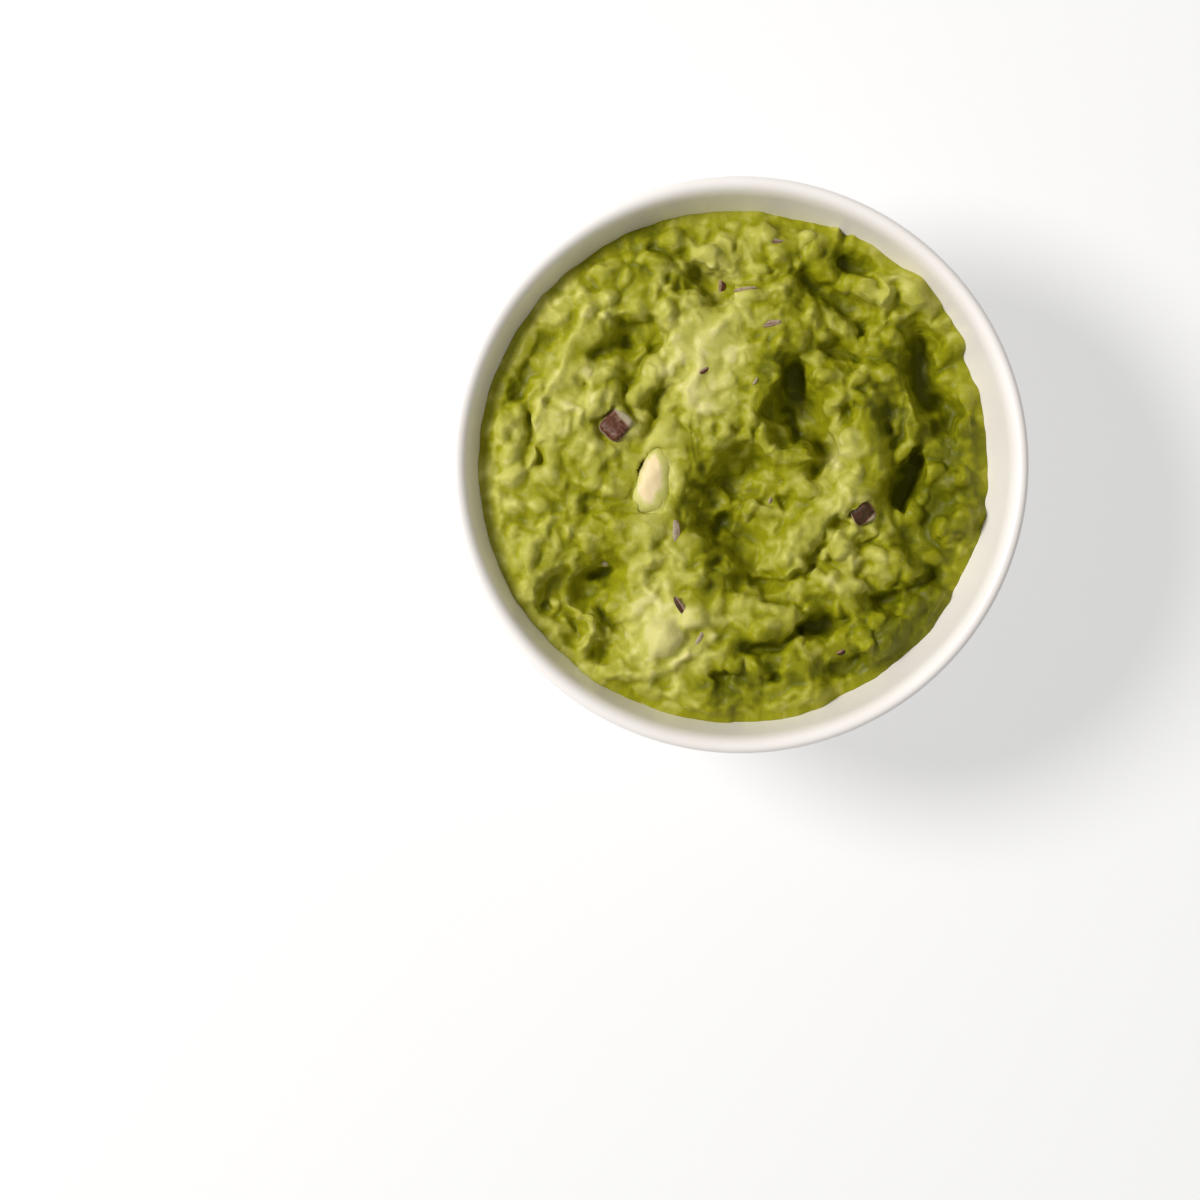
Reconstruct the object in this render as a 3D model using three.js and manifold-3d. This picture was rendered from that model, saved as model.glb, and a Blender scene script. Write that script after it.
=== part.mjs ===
// Chunky guacamole heaped in a round white dip bowl.
//
// Units are millimetres and +Z is up. The origin is the centre of the bowl's foot, on the
// surface that the bowl stands on. The bowl is turned about Z. The guacamole fills it to an
// uneven, spooned surface, and three pieces lie pressed into that surface, each in a socket
// of its own: a pale chunk of avocado and two dice of red onion.

import * as THREE from 'three';
import { mergeVertices } from 'three/addons/utils/BufferGeometryUtils.js';
import Module from 'manifold-3d';

const wasm = await Module();
wasm.setup();

// ---------------------------------------------------------------- driving dimensions

const RIM_DIAMETER = 105;
const BOWL_HEIGHT = 48;
const FOOT_DIAMETER = 54;
const FOOT_HEIGHT = 3;
const FOOT_STEP = 1.2; // the belly starts this far outside the foot
const FOOT_ROUND = 0.6;
const WALL = 3;
const LIP_ROUND = 1; // the lip's outer edge
const LIP_SLOPE = 3.2; // the lip's inner side curves down this far before it meets the wall
const FLOOR = 4.5;
const FLOOR_FLAT = 0.55; // the share of the floor's radius that is flat
const BELLY_ARC = THREE.MathUtils.degToRad(30); // how far the wall turns from foot to lip
const TURNED_SIDES = 64;

const FIT_GAP = 0.35; // between the bowl's wall and the guacamole
const WALL_DROP = 7; // the even rings of the guacamole's side start this far under its edge
const FLOOR_CURVE = 2.4; // and end this far above its flat bottom
const SOCKET_GAP = 0.3; // between a pressed-in piece and its socket

const EDGE_LEVEL = 39.3; // mean height of the guacamole beside the wall
const EDGE_TILT = 3; // it stands this much higher on the -X side and lower on the +X side
const EDGE_DROP = 1.2; // it rounds down to the wall
const EDGE_ROUND = 3.5; // over this width
const CREST_RISE = 1.2; // the heap's crest over its edge, before the forms below
const CREST_X = 10; // the crest lies to the right, and the heap falls away more steeply behind it
const HEAP_TOP = 43.2; // nothing stands higher than this
const TOP_SOFTNESS = 1.5;
const GRAIN = 1.38; // spacing of the surface's points
const WANDER = 0.8; // how far the forms' outlines stray from their strokes
const WANDER_LENGTH = 5.5;

const CRUMB_SPACING = 3.9; // the mash's small lumps
const CRUMB_RADIUS = [2.1, 3.8];
const CRUMB_RISE = [0.4, 1.2];
const CRUMB_STRETCH = 1.6;
const CRUMB_SPREAD = [0.75, 1.15]; // small lumps lie closer together than large ones
const CRUMB_SEED = 20481;

// ---------------------------------------------------------------- helpers

const { clamp, lerp, smoothstep } = THREE.MathUtils;

// A repeatable stream of numbers from 0 to 1.
function seededRandom(seed) {
  let state = seed >>> 0;
  return () => {
    state = (state + 0x6d2b79f5) >>> 0;
    let t = Math.imul(state ^ (state >>> 15), state | 1);
    t ^= t + Math.imul(t ^ (t >>> 7), t | 61);
    return ((t ^ (t >>> 14)) >>> 0) / 4294967296;
  };
}

// The larger of two heights, with the crease between them rounded over a width k.
function softMax(a, b, k) {
  const h = clamp(0.5 + (0.5 * (a - b)) / k, 0, 1);
  return lerp(b, a, h) + k * h * (1 - h);
}

// How far a point is from a stroke, in the stroke's own half-widths: 0 on its line and 1 at
// its edge. The stroke is a line through [x, y, half-width] stations.
function strokeDistance(stations, x, y) {
  if (stations.length === 1) {
    const [cx, cy, half] = stations[0];
    return Math.hypot(x - cx, y - cy) / half;
  }
  let nearest = Infinity;
  for (let i = 1; i < stations.length; i++) {
    const [ax, ay, aHalf] = stations[i - 1];
    const [bx, by, bHalf] = stations[i];
    const [dx, dy] = [bx - ax, by - ay];
    const along = clamp(((x - ax) * dx + (y - ay) * dy) / (dx * dx + dy * dy), 0, 1);
    const gap = Math.hypot(x - ax - along * dx, y - ay - along * dy);
    nearest = Math.min(nearest, gap / lerp(aHalf, bHalf, along));
  }
  return nearest;
}

// A stroke's height at a distance from its line: a slight crown inside a rounded shoulder.
// A rise has a soft shoulder, and a fall has a steep one round a flatter bottom.
const SHOULDER_END = 1.25;
const RISE_SHOULDER_START = 0.4;
const FALL_SHOULDER_START = 0.6;
const CROWN = 0.2;

function strokeProfile(distance, shoulderStart) {
  if (distance >= SHOULDER_END) return 0;
  const crown = 1 - CROWN * Math.min(1, distance * distance);
  return crown * (1 - smoothstep(distance, shoulderStart, SHOULDER_END));
}

// Smooth noise from -1 to 1: random values on a square grid, blended between its corners.
const NOISE_SIDE = 64;
const noiseTable = Array.from({ length: NOISE_SIDE * NOISE_SIDE }, seededRandom(CRUMB_SEED + 1));

function smoothNoise(x, y) {
  const [column, row] = [Math.floor(x), Math.floor(y)];
  const wrap = (v) => ((v % NOISE_SIDE) + NOISE_SIDE) % NOISE_SIDE;
  const corner = (i, j) => noiseTable[wrap(row + j) * NOISE_SIDE + wrap(column + i)];
  const [u, v] = [smoothstep(x - column, 0, 1), smoothstep(y - row, 0, 1)];
  const lower = lerp(corner(0, 0), corner(1, 0), u);
  const upper = lerp(corner(0, 1), corner(1, 1), u);
  return 2 * lerp(lower, upper, v) - 1;
}

function toManifold(geometry) {
  const bare = geometry.clone();
  bare.deleteAttribute('normal');
  bare.deleteAttribute('uv');
  const merged = mergeVertices(bare, 1e-4);
  return new wasm.Manifold(
    new wasm.Mesh({
      numProp: 3,
      vertProperties: new Float32Array(merged.attributes.position.array),
      triVerts: new Uint32Array(merged.index.array),
    })
  );
}

function fromManifold(solid) {
  const mesh = solid.getMesh();
  const geometry = new THREE.BufferGeometry();
  geometry.setAttribute('position', new THREE.BufferAttribute(mesh.vertProperties, mesh.numProp));
  geometry.setIndex(new THREE.BufferAttribute(mesh.triVerts, 1));
  geometry.computeVertexNormals();
  return geometry;
}

// ---------------------------------------------------------------- bowl

const rimRadius = RIM_DIAMETER / 2;
const halfWall = WALL / 2;

// The wall's middle line is one arc, bulging outwards, from over the foot up to the lip.
const bellyStart = new THREE.Vector2(
  FOOT_DIAMETER / 2 + FOOT_STEP - halfWall,
  FOOT_HEIGHT + halfWall
);
const bellyEnd = new THREE.Vector2(rimRadius - halfWall, BOWL_HEIGHT - halfWall);
const chord = bellyEnd.clone().sub(bellyStart);
const arcRadius = chord.length() / (2 * Math.sin(BELLY_ARC / 2));
const chordNormal = new THREE.Vector2(-chord.y, chord.x).normalize();
const arcCentre = bellyStart
  .clone()
  .add(bellyEnd)
  .multiplyScalar(0.5)
  .addScaledVector(chordNormal, arcRadius * Math.cos(BELLY_ARC / 2));
const arcEnd = Math.atan2(bellyEnd.y - arcCentre.y, bellyEnd.x - arcCentre.x);

function wallPoint(share, offset) {
  const angle = arcEnd - BELLY_ARC * (1 - share);
  return new THREE.Vector2(
    arcCentre.x + (arcRadius + offset) * Math.cos(angle),
    arcCentre.y + (arcRadius + offset) * Math.sin(angle)
  );
}

// Radius of the bowl's inside at a height above its floor.
function insideRadius(z) {
  const radius = arcRadius - halfWall;
  return arcCentre.x + Math.sqrt(radius * radius - (z - arcCentre.y) ** 2);
}

function bowlProfile() {
  const footRadius = FOOT_DIAMETER / 2;
  const outsideSteps = 8;
  const roundSteps = 4;
  const slopeSteps = 4;
  const insideSteps = 6;
  const points = [
    new THREE.Vector2(0, 0),
    new THREE.Vector2(footRadius - FOOT_ROUND, 0),
    new THREE.Vector2(footRadius, FOOT_ROUND),
    new THREE.Vector2(footRadius, FOOT_HEIGHT),
  ];
  for (let i = 0; i <= outsideSteps; i++) points.push(wallPoint(i / outsideSteps, halfWall));
  const crest = new THREE.Vector2(rimRadius - LIP_ROUND, BOWL_HEIGHT);
  for (let i = 0; i < roundSteps; i++) {
    const angle = lerp(0, Math.PI / 2, i / roundSteps);
    points.push(
      new THREE.Vector2(
        crest.x + LIP_ROUND * Math.cos(angle),
        crest.y - LIP_ROUND * (1 - Math.sin(angle))
      )
    );
  }
  // From its crest the lip slopes down along a curve that runs out into the wall's inside.
  const slopeEnd = new THREE.Vector2(insideRadius(BOWL_HEIGHT - LIP_SLOPE), BOWL_HEIGHT - LIP_SLOPE);
  const lean = Math.asin((slopeEnd.y - arcCentre.y) / (arcRadius - halfWall));
  const bend = new THREE.Vector2(slopeEnd.x - LIP_SLOPE * Math.tan(lean), BOWL_HEIGHT);
  const slope = new THREE.QuadraticBezierCurve(crest, bend, slopeEnd);
  points.push(...slope.getPoints(slopeSteps));
  // The inside of the wall ends a little above its foot, where a curve takes it to the floor.
  const wallFoot = 0.06;
  const wallHead = 1 + (lean - arcEnd) / BELLY_ARC;
  for (let i = insideSteps - 1; i >= 0; i--) {
    points.push(wallPoint(lerp(wallFoot, wallHead, i / insideSteps), -halfWall));
  }
  const floorEdge = points[points.length - 1];
  const [midShare, midLift] = [0.8, 0.35];
  points.push(new THREE.Vector2(floorEdge.x * midShare, lerp(FLOOR, floorEdge.y, midLift)));
  points.push(new THREE.Vector2(floorEdge.x * FLOOR_FLAT, FLOOR));
  points.push(new THREE.Vector2(0, FLOOR));
  return points;
}

function makeBowl() {
  const geometry = new THREE.LatheGeometry(bowlProfile(), TURNED_SIDES);
  geometry.rotateX(Math.PI / 2);
  return fromManifold(toManifold(geometry));
}

// ---------------------------------------------------------------- surface of the guacamole

// Each form is a rise (or, below zero, a fall) in millimetres and a stroke of stations
// [x, y, half-width]. A heap of forms is laid by a spoon that went round once: a lit lip over a
// deep hole, a long ridge round the right-hand side, and a dent in the middle.
const FORMS = {
  broad: [
    { rise: -1.8, stroke: [[34, 19, 5.5], [35, 6, 6.5], [33, -10, 6]] },
    { rise: -1.4, stroke: [[8, -6, 13]] },
    { rise: -3.2, stroke: [[-25, -22, 6], [-24, -31, 5]] },
    { rise: -3, stroke: [[-17, 23, 5], [-18.5, 11, 5]] },
    { rise: 1.2, stroke: [[-31.8, 3.8, 8], [-26.2, -10.4, 9], [-17.8, -6.2, 8]] },
    { rise: 1.2, stroke: [[-8.6, -31.9, 12]] },
  ],
  lipOverHole: [
    { rise: 3.2, stroke: [[-0.6, 23, 9.5], [-2, 15, 8.5], [-3, 10.4, 5]] },
    { rise: 1.2, stroke: [[-4, 23, 4], [-5, 15, 3.4], [-6, 9, 2.4]] },
    { rise: 3.3, stroke: [[8.4, 25, 4.2], [6, 19, 3.2], [3.2, 12.6, 2.5], [1.6, 8.1, 1.3]] },
    { rise: 1.8, stroke: [[13.6, 26.8, 3.2], [19.1, 24.9, 2.4]] },
  ],
  rightRidge: [
    {
      rise: 4.7,
      stroke: [[16.5, 15.7, 2.2], [20.9, 13.8, 2.9], [24.2, 10.3, 3.2], [22.7, 4.7, 3.4], [23.7, -1.4, 3.8],
        [21.4, -5.8, 3.6], [16.7, -9.3, 3.4], [12.5, -14.4, 3.8], [9.2, -17.8, 3.2]],
    },
    { rise: 2.4, stroke: [[31, 13, 1.6], [32.8, 8.6, 1.7], [32.4, 5, 1.7], [29, 2, 1.5]] },
    { rise: 2.2, stroke: [[23.6, 16.5, 2.4], [28.9, 16.8, 2.9]] },
  ],
  upperArcs: [
    { rise: 2.5, stroke: [[-8.8, 22.9, 2.6], [-14.7, 18.8, 2.8], [-19, 13.4, 2.2]] },
    { rise: 1.4, stroke: [[-17.3, 21.6, 1.6], [-22.8, 16.9, 2.6], [-24.3, 10.9, 2.6]] },
    {
      rise: 2.2,
      stroke: [[-26.1, 25, 2], [-29.8, 19, 1.9], [-32.4, 12, 1.8], [-34.2, 5, 1.9], [-35.3, 0, 1.6]],
    },
    { rise: 2.4, stroke: [[-24.7, 27, 4.5], [-18.4, 31.4, 5]] },
    { rise: 3.3, stroke: [[-12.5, 26.6, 4], [-10.5, 27.6, 4], [-12.8, 31, 1.8]] },
  ],
  topLumps: [
    { rise: 2, stroke: [[-9.8, 41.4, 2.6]] },
    { rise: 2.1, stroke: [[-6, 38.3, 3], [-2.5, 37.3, 3]] },
    { rise: 2, stroke: [[6.7, 40.8, 2.8], [11.1, 41.3, 3]] },
    { rise: 2, stroke: [[16.5, 41.1, 2.4], [15.2, 37.5, 2.6]] },
    { rise: 2, stroke: [[0.9, 32.5, 2], [8.9, 32.3, 3]] },
    { rise: 1.4, stroke: [[-14.7, 36.8, 2.8]] },
    { rise: 1.5, stroke: [[7.6, 36.9, 2.4]] },
  ],
  upperRight: [
    { rise: 3.6, stroke: [[23.4, 32.8, 3], [30.9, 30.4, 5.4], [37.3, 28.9, 5.2], [41, 24.5, 4]] },
    { rise: 2.2, stroke: [[26.6, 25.3, 2.5], [30.6, 22.9, 2.2]] },
    { rise: 1.2, stroke: [[42.4, 14, 1.6], [42, 8, 1.6]] },
    { rise: 2.8, stroke: [[19, 43, 2.4], [25, 39, 3.4], [32, 34, 3.2]] },
  ],
  rightLumps: [
    { rise: 2.5, stroke: [[35.8, -1.6, 2.1], [39.7, -2.3, 2.3]] },
    { rise: 3.3, stroke: [[38.4, -12, 1.8], [43.6, -8.4, 2.1]] },
    { rise: 1.8, stroke: [[41.5, -14.1, 2.4]] },
    { rise: 3.8, stroke: [[26.6, -17.2, 3.2], [31.1, -19.3, 3.4]] },
    { rise: 2.4, stroke: [[18.5, -14.6, 2], [22.9, -11.4, 2]] },
    { rise: 2.2, stroke: [[21.1, -17.7, 2.4]] },
    { rise: 2.5, stroke: [[15.5, -21, 2], [20.1, -22.9, 3.4]] },
    { rise: 2.8, stroke: [[21.6, -31.4, 1.8], [24.4, -34.4, 1.8], [27.5, -32, 2], [26.4, -29.1, 2.2]] },
    { rise: 2.4, stroke: [[37.2, -23.4, 1.8], [34.3, -27.2, 2.8], [31.1, -30.7, 2.4]] },
    { rise: 1.7, stroke: [[20.4, -27.1, 2.2]] },
  ],
  lowerLobes: [
    { rise: 3.8, stroke: [[2, -28.3, 3.3], [6.8, -29.5, 3.6], [11.3, -27.6, 2.8]] },
    { rise: 3.2, stroke: [[-9, -31, 10]] },
    { rise: 3.4, stroke: [[-13, -29, 4.6], [-8.4, -32.6, 5.8], [-5.4, -29.4, 4.4]] },
    { rise: 2, stroke: [[-24.3, -38.6, 1.7], [-17.3, -39, 1.7], [-9.3, -36.7, 1.6], [-5.1, -34.5, 1.3]] },
    { rise: 1.7, stroke: [[3.1, -37.7, 2.4]] },
    { rise: 1.8, stroke: [[11.6, -37.1, 2.2]] },
    { rise: 1.2, stroke: [[-8.7, -42.8, 2.8], [-0.8, -43.9, 2.6], [9.3, -44.6, 2.8], [15.1, -42.1, 2.4]] },
  ],
  leftSide: [
    { rise: 3.2, stroke: [[-17.2, -14.2, 3], [-11.2, -16, 4.8], [-8.8, -18.7, 3.6]] },
    { rise: 2, stroke: [[-38.1, -5, 3.8], [-31.3, -4.3, 3.4]] },
    { rise: 3.3, stroke: [[-33.8, -11.7, 2.2], [-35.5, -17.1, 2.4], [-38.1, -23.4, 1.7]] },
    { rise: 1.5, stroke: [[-27.8, -13.1, 2.6]] },
    { rise: 1.7, stroke: [[-20.8, -11.7, 2.6]] },
    { rise: 1.7, stroke: [[-39.9, 6.9, 2.3], [-39.8, 1.5, 2.6]] },
    { rise: 2, stroke: [[-25.3, -3.5, 2.3], [-21.6, -5, 1.8]] },
    { rise: 1.5, stroke: [[-28.3, 7.8, 2.8], [-29.8, 3.9, 2.6]] },
    { rise: 1.8, stroke: [[-29.5, -27.3, 1.3], [-26.8, -29.5, 1.5], [-28.5, -32.9, 1.2]] },
    { rise: 1.5, stroke: [[-21.8, -36.2, 3.2]] },
  ],
  middle: [
    {
      rise: 2.1,
      stroke: [[4.2, 6.7, 1.4], [5.8, 3, 1.8], [8.8, 1, 1.8], [12.2, 0.9, 1.5], [15.3, 2.6, 1.7]],
    },
    { rise: 1.7, stroke: [[11.2, -4.1, 2.6]] },
    { rise: 1.5, stroke: [[2, -8.1, 2.2], [5, -9, 1.8]] },
    { rise: 1.8, stroke: [[-10.6, 2, 1.8], [-9.9, -4.9, 1.6]] },
    { rise: 1.7, stroke: [[-10.9, 5.1, 2.4]] },
    { rise: 1.5, stroke: [[-4.2, 4.8, 1.8]] },
  ],
  deepHoles: [
    {
      rise: -7,
      stroke: [[10.4, 18, 2.8], [10.6, 14, 3.5], [11.4, 10.4, 3.3], [14, 6.6, 3.2], [15.6, 3.4, 2.4]],
    },
    { rise: -3.8, stroke: [[16.4, 3.4, 2], [16.6, 0.6, 2], [13.6, -2, 1.6]] },
    { rise: -3, stroke: [[7.4, 10, 2.8], [9.6, 6, 2.8]] },
    { rise: -5.4, stroke: [[32.8, 2.6, 1.5], [31, -1, 2.5], [30.4, -4.6, 2.8], [30, -7.2, 2]] },
    { rise: -4.2, stroke: [[32.8, 22.8, 2], [33.6, 18, 2.8], [34.6, 12.6, 2.8]] },
    { rise: -3, stroke: [[38.2, 11.6, 2.6], [38.4, 7.4, 2.2]] },
    { rise: -2.7, stroke: [[26, 10.8, 1.7], [26.4, 7.2, 1.9]] },
    { rise: -1.4, stroke: [[28.4, 4, 2], [27.4, 0.4, 1.8]] },
  ],
  spoonDent: [
    { rise: -2, stroke: [[2, -6, 9.5], [2, -13, 8]] },
    { rise: -3.8, stroke: [[0.8, 1, 3.6], [-2.8, -5, 4.6], [-4.8, -9.4, 3.8]] },
    { rise: -3.8, stroke: [[-2, -12.6, 4], [1.4, -15, 4.4], [2, -20, 4]] },
    {
      rise: -3.1,
      stroke: [[22.9, -9.4, 0.9], [18.4, -10.4, 1], [15, -14.6, 1.1], [12.9, -19.2, 1], [6.3, -21.2, 1],
        [2.5, -21.5, 1.2]],
    },
  ],
  pockets: [
    { rise: -5, stroke: [[-7.4, 34.6, 2.8], [-3.6, 32, 3.4]] },
    { rise: -3.4, stroke: [[-21.8, 26, 1.8], [-22.4, 23.4, 1.6]] },
    { rise: -1.6, stroke: [[-21.8, 21.7, 1.5], [-26.4, 20.7, 1.5]] },
    { rise: -2.1, stroke: [[-13.7, 23.8, 1], [-17.6, 19.2, 1.1], [-21.9, 13.1, 1.2]] },
    { rise: -3.6, stroke: [[-13.3, 14.1, 1.3], [-15.3, 11.6, 1.7], [-14.7, 7.6, 1], [-16.6, 4.2, 1]] },
    { rise: -2.8, stroke: [[19.6, 38.2, 2.6], [23.6, 36.2, 2.4]] },
    { rise: -3.4, stroke: [[19.9, 42.3, 1.2]] },
    {
      rise: -3.2,
      stroke: [[11.8, 34.1, 1.6], [16.6, 32.2, 2.8], [20.6, 29.4, 2.8], [22.6, 26.4, 1.8], [23.6, 23.9, 1.4]],
    },
    { rise: -3.6, stroke: [[16.8, 21.4, 1.9], [19.7, 20.6, 1.7], [22.8, 19.4, 1]] },
    { rise: -3.6, stroke: [[-34.6, -22.4, 3], [-29.8, -22.7, 3.6], [-25, -20.4, 3.2]] },
    { rise: -3.4, stroke: [[-36, -25.9, 1.4], [-31.7, -28.5, 2.4], [-30.3, -32.5, 1.6]] },
    { rise: -3.1, stroke: [[-25.6, -35.3, 1.5]] },
    { rise: -2.1, stroke: [[-27.8, 15.2, 1]] },
    { rise: -2.1, stroke: [[-40.8, 13.1, 1.5], [-34, 22.8, 1]] },
    { rise: -2.6, stroke: [[-37.4, 8.2, 1], [-36.6, 3.2, 1], [-37.4, -0.4, 1]] },
    { rise: -2.1, stroke: [[-28.3, -7.3, 1.6], [-18.4, -7.3, 1.4]] },
    { rise: -2.3, stroke: [[-22, -17.9, 1.5], [-26.3, -18.5, 1.6]] },
    { rise: -4.9, stroke: [[12.6, -30.4, 2], [15.8, -29, 2.4]] },
    { rise: -2.9, stroke: [[3, -33.6, 1], [8.3, -32.6, 1], [11.4, -31.4, 1.1]] },
    { rise: -3.5, stroke: [[25.9, -25, 2], [29.1, -24.3, 1.3]] },
    { rise: -2.3, stroke: [[35.2, -18.8, 1.9]] },
    { rise: -2.2, stroke: [[21.7, -36.1, 1.6], [18.4, -37.4, 1.8]] },
    { rise: -2.3, stroke: [[7, -38.5, 1.4]] },
    { rise: -2.2, stroke: [[-2.4, -38.5, 1.5]] },
    { rise: -0.9, stroke: [[-13.7, -25.8, 1], [-16.5, -30.8, 0.9]] },
    { rise: -2, stroke: [[-24.6, -25.8, 1], [-22.6, -31.4, 1.1]] },
    { rise: -2.6, stroke: [[7.5, -7.3, 1.3]] },
    { rise: -2.3, stroke: [[-5.8, 7.6, 1], [-3.6, 8.4, 1]] },
    { rise: -2.6, stroke: [[0.2, 7.7, 1.2]] },
    { rise: -0.9, stroke: [[40, -17, 5], [36, -26, 5], [29, -34, 5], [19, -40, 4]] },
  ],
};

const ALL_FORMS = Object.values(FORMS).flat();

// Small lumps of mashed avocado, spread evenly by dart throwing.
function scatterCrumbs() {
  const random = seededRandom(CRUMB_SEED);
  const reach = insideRadius(EDGE_LEVEL);
  const throws = 6000;
  const crumbs = [];
  for (let i = 0; i < throws; i++) {
    const radius = reach * Math.sqrt(random());
    const angle = 2 * Math.PI * random();
    const x = radius * Math.cos(angle);
    const y = radius * Math.sin(angle);
    const size = random();
    const spacing = CRUMB_SPACING * lerp(...CRUMB_SPREAD, size);
    if (crumbs.some((other) => Math.hypot(other.x - x, other.y - y) < spacing)) continue;
    const turn = Math.PI * random();
    crumbs.push({
      x,
      y,
      cos: Math.cos(turn),
      sin: Math.sin(turn),
      radius: lerp(...CRUMB_RADIUS, size),
      stretch: lerp(1, CRUMB_STRETCH, random()),
      rise: lerp(...CRUMB_RISE, random()),
    });
  }
  return crumbs;
}

const CRUMBS = scatterCrumbs();
const CREASE = 0.25; // how far the crease between two crumbs is rounded

function crumbHeight(x, y) {
  let height = 0;
  for (const crumb of CRUMBS) {
    const dx = x - crumb.x;
    const dy = y - crumb.y;
    const along = (dx * crumb.cos + dy * crumb.sin) / (crumb.radius * crumb.stretch);
    const across = (dy * crumb.cos - dx * crumb.sin) / crumb.radius;
    const ratio = along * along + across * across;
    if (ratio < 1) height = softMax(height, crumb.rise * (1 - ratio), CREASE);
  }
  return height;
}

function surfaceHeight(x, y) {
  const radius = Math.hypot(x, y);
  const reach = insideRadius(EDGE_LEVEL);
  const share = Math.min(1, radius / reach);
  const climb = x < CREST_X ? (reach + x) / (reach + CREST_X) : (reach - x) / (reach - CREST_X);
  let height = EDGE_LEVEL - (EDGE_TILT * x) / rimRadius + CREST_RISE * climb * (1 - share ** 4);
  height -= EDGE_DROP * smoothstep(radius, reach - EDGE_ROUND, reach);
  const strayX = x + WANDER * smoothNoise(x / WANDER_LENGTH, y / WANDER_LENGTH);
  const strayY = y + WANDER * smoothNoise(x / WANDER_LENGTH + NOISE_SIDE / 2, y / WANDER_LENGTH);
  for (const { rise, stroke } of ALL_FORMS) {
    const shoulderStart = rise > 0 ? RISE_SHOULDER_START : FALL_SHOULDER_START;
    height += rise * strokeProfile(strokeDistance(stroke, strayX, strayY), shoulderStart);
  }
  height += crumbHeight(x, y);
  // Where forms pile up, their tops level off towards the highest that the heap reaches.
  const bend = HEAP_TOP - TOP_SOFTNESS;
  return height < bend ? height : HEAP_TOP - TOP_SOFTNESS * Math.exp((bend - height) / TOP_SOFTNESS);
}

// ---------------------------------------------------------------- guacamole

// Where the surface meets the wall, along one direction from the middle.
function edgeRadius(angle) {
  const insideWall = (r) =>
    insideRadius(surfaceHeight(r * Math.cos(angle), r * Math.sin(angle))) - FIT_GAP > r;
  let [low, high] = [0.8 * rimRadius, rimRadius];
  const halvings = 30;
  for (let i = 0; i < halvings; i++) {
    const middle = (low + high) / 2;
    if (insideWall(middle)) low = middle;
    else high = middle;
  }
  return low;
}

// Joins two closed rings of vertex numbers, each starting at angle zero, into triangles.
function zipRings(outer, inner, triangles) {
  let [i, j] = [0, 0];
  while (i < outer.length || j < inner.length) {
    const a = outer[i % outer.length];
    const b = inner[j % inner.length];
    if (j >= inner.length || (i < outer.length && (i + 1) / outer.length <= (j + 1) / inner.length)) {
      i++;
      triangles.push(a, outer[i % outer.length], b);
    } else {
      j++;
      triangles.push(a, inner[j % inner.length], b);
    }
  }
}

function makeHeap() {
  const positions = [];
  const triangles = [];
  const addVertex = (x, y, z) => positions.push(x, y, z) / 3 - 1;
  const addRing = (count, place) =>
    Array.from({ length: count }, (_, i) => addVertex(...place((2 * Math.PI * i) / count)));

  const ringCount = Math.round(insideRadius(EDGE_LEVEL) / GRAIN);
  const middle = addVertex(0, 0, surfaceHeight(0, 0));
  let inner = [];
  for (let k = 1; k <= ringCount; k++) {
    const ring = addRing(Math.max(6, Math.round(2 * Math.PI * k)), (angle) => {
      const r = (edgeRadius(angle) * k) / ringCount;
      const [x, y] = [r * Math.cos(angle), r * Math.sin(angle)];
      return [x, y, surfaceHeight(x, y)];
    });
    if (k === 1) ring.forEach((v, i) => triangles.push(v, ring[(i + 1) % ring.length], middle));
    else zipRings(ring, inner, triangles);
    inner = ring;
  }

  // Down the wall and across the floor, a gap inside the bowl.
  const wallTop = EDGE_LEVEL - WALL_DROP;
  const floorLevel = FLOOR + 2 * FIT_GAP;
  const wallSteps = 5;
  for (let i = 0; i <= wallSteps; i++) {
    const z = lerp(wallTop, floorLevel + FLOOR_CURVE, i / wallSteps);
    const r = insideRadius(z) - FIT_GAP;
    const ring = addRing(TURNED_SIDES, (angle) => [r * Math.cos(angle), r * Math.sin(angle), z]);
    zipRings(ring, inner, triangles);
    inner = ring;
  }
  const floorRadius = FLOOR_FLAT * insideRadius(floorLevel);
  const floorRing = addRing(TURNED_SIDES / 2, (angle) => [
    floorRadius * Math.cos(angle),
    floorRadius * Math.sin(angle),
    floorLevel,
  ]);
  zipRings(floorRing, inner, triangles);
  const floorMiddle = addVertex(0, 0, floorLevel);
  floorRing.forEach((v, i) => triangles.push(floorMiddle, floorRing[(i + 1) % floorRing.length], v));

  const geometry = new THREE.BufferGeometry();
  geometry.setAttribute('position', new THREE.Float32BufferAttribute(positions, 3));
  geometry.setIndex(triangles);
  return geometry;
}

// ---------------------------------------------------------------- pieces pressed into the surface

// A soft-cornered block: a cube's grid pushed towards a rounded block, then arched like a
// layer of onion or the side of an avocado, and narrowed towards one end.
function blockGeometry([length, width, height], cells, squareness, arch = 0, taper = 0) {
  const geometry = new THREE.BoxGeometry(2, 2, 2, ...cells);
  const position = geometry.attributes.position;
  const corner = new THREE.Vector3();
  for (let i = 0; i < position.count; i++) {
    corner.fromBufferAttribute(position, i);
    const power = (v) => Math.abs(v) ** squareness;
    const norm = (power(corner.x) + power(corner.y) + power(corner.z)) ** (1 / squareness);
    corner.divideScalar(norm);
    corner.z -= arch * corner.x * corner.x;
    corner.y *= 1 - taper * corner.x;
    position.setXYZ(i, (corner.x * length) / 2, (corner.y * width) / 2, (corner.z * height) / 2);
  }
  return geometry;
}

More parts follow.
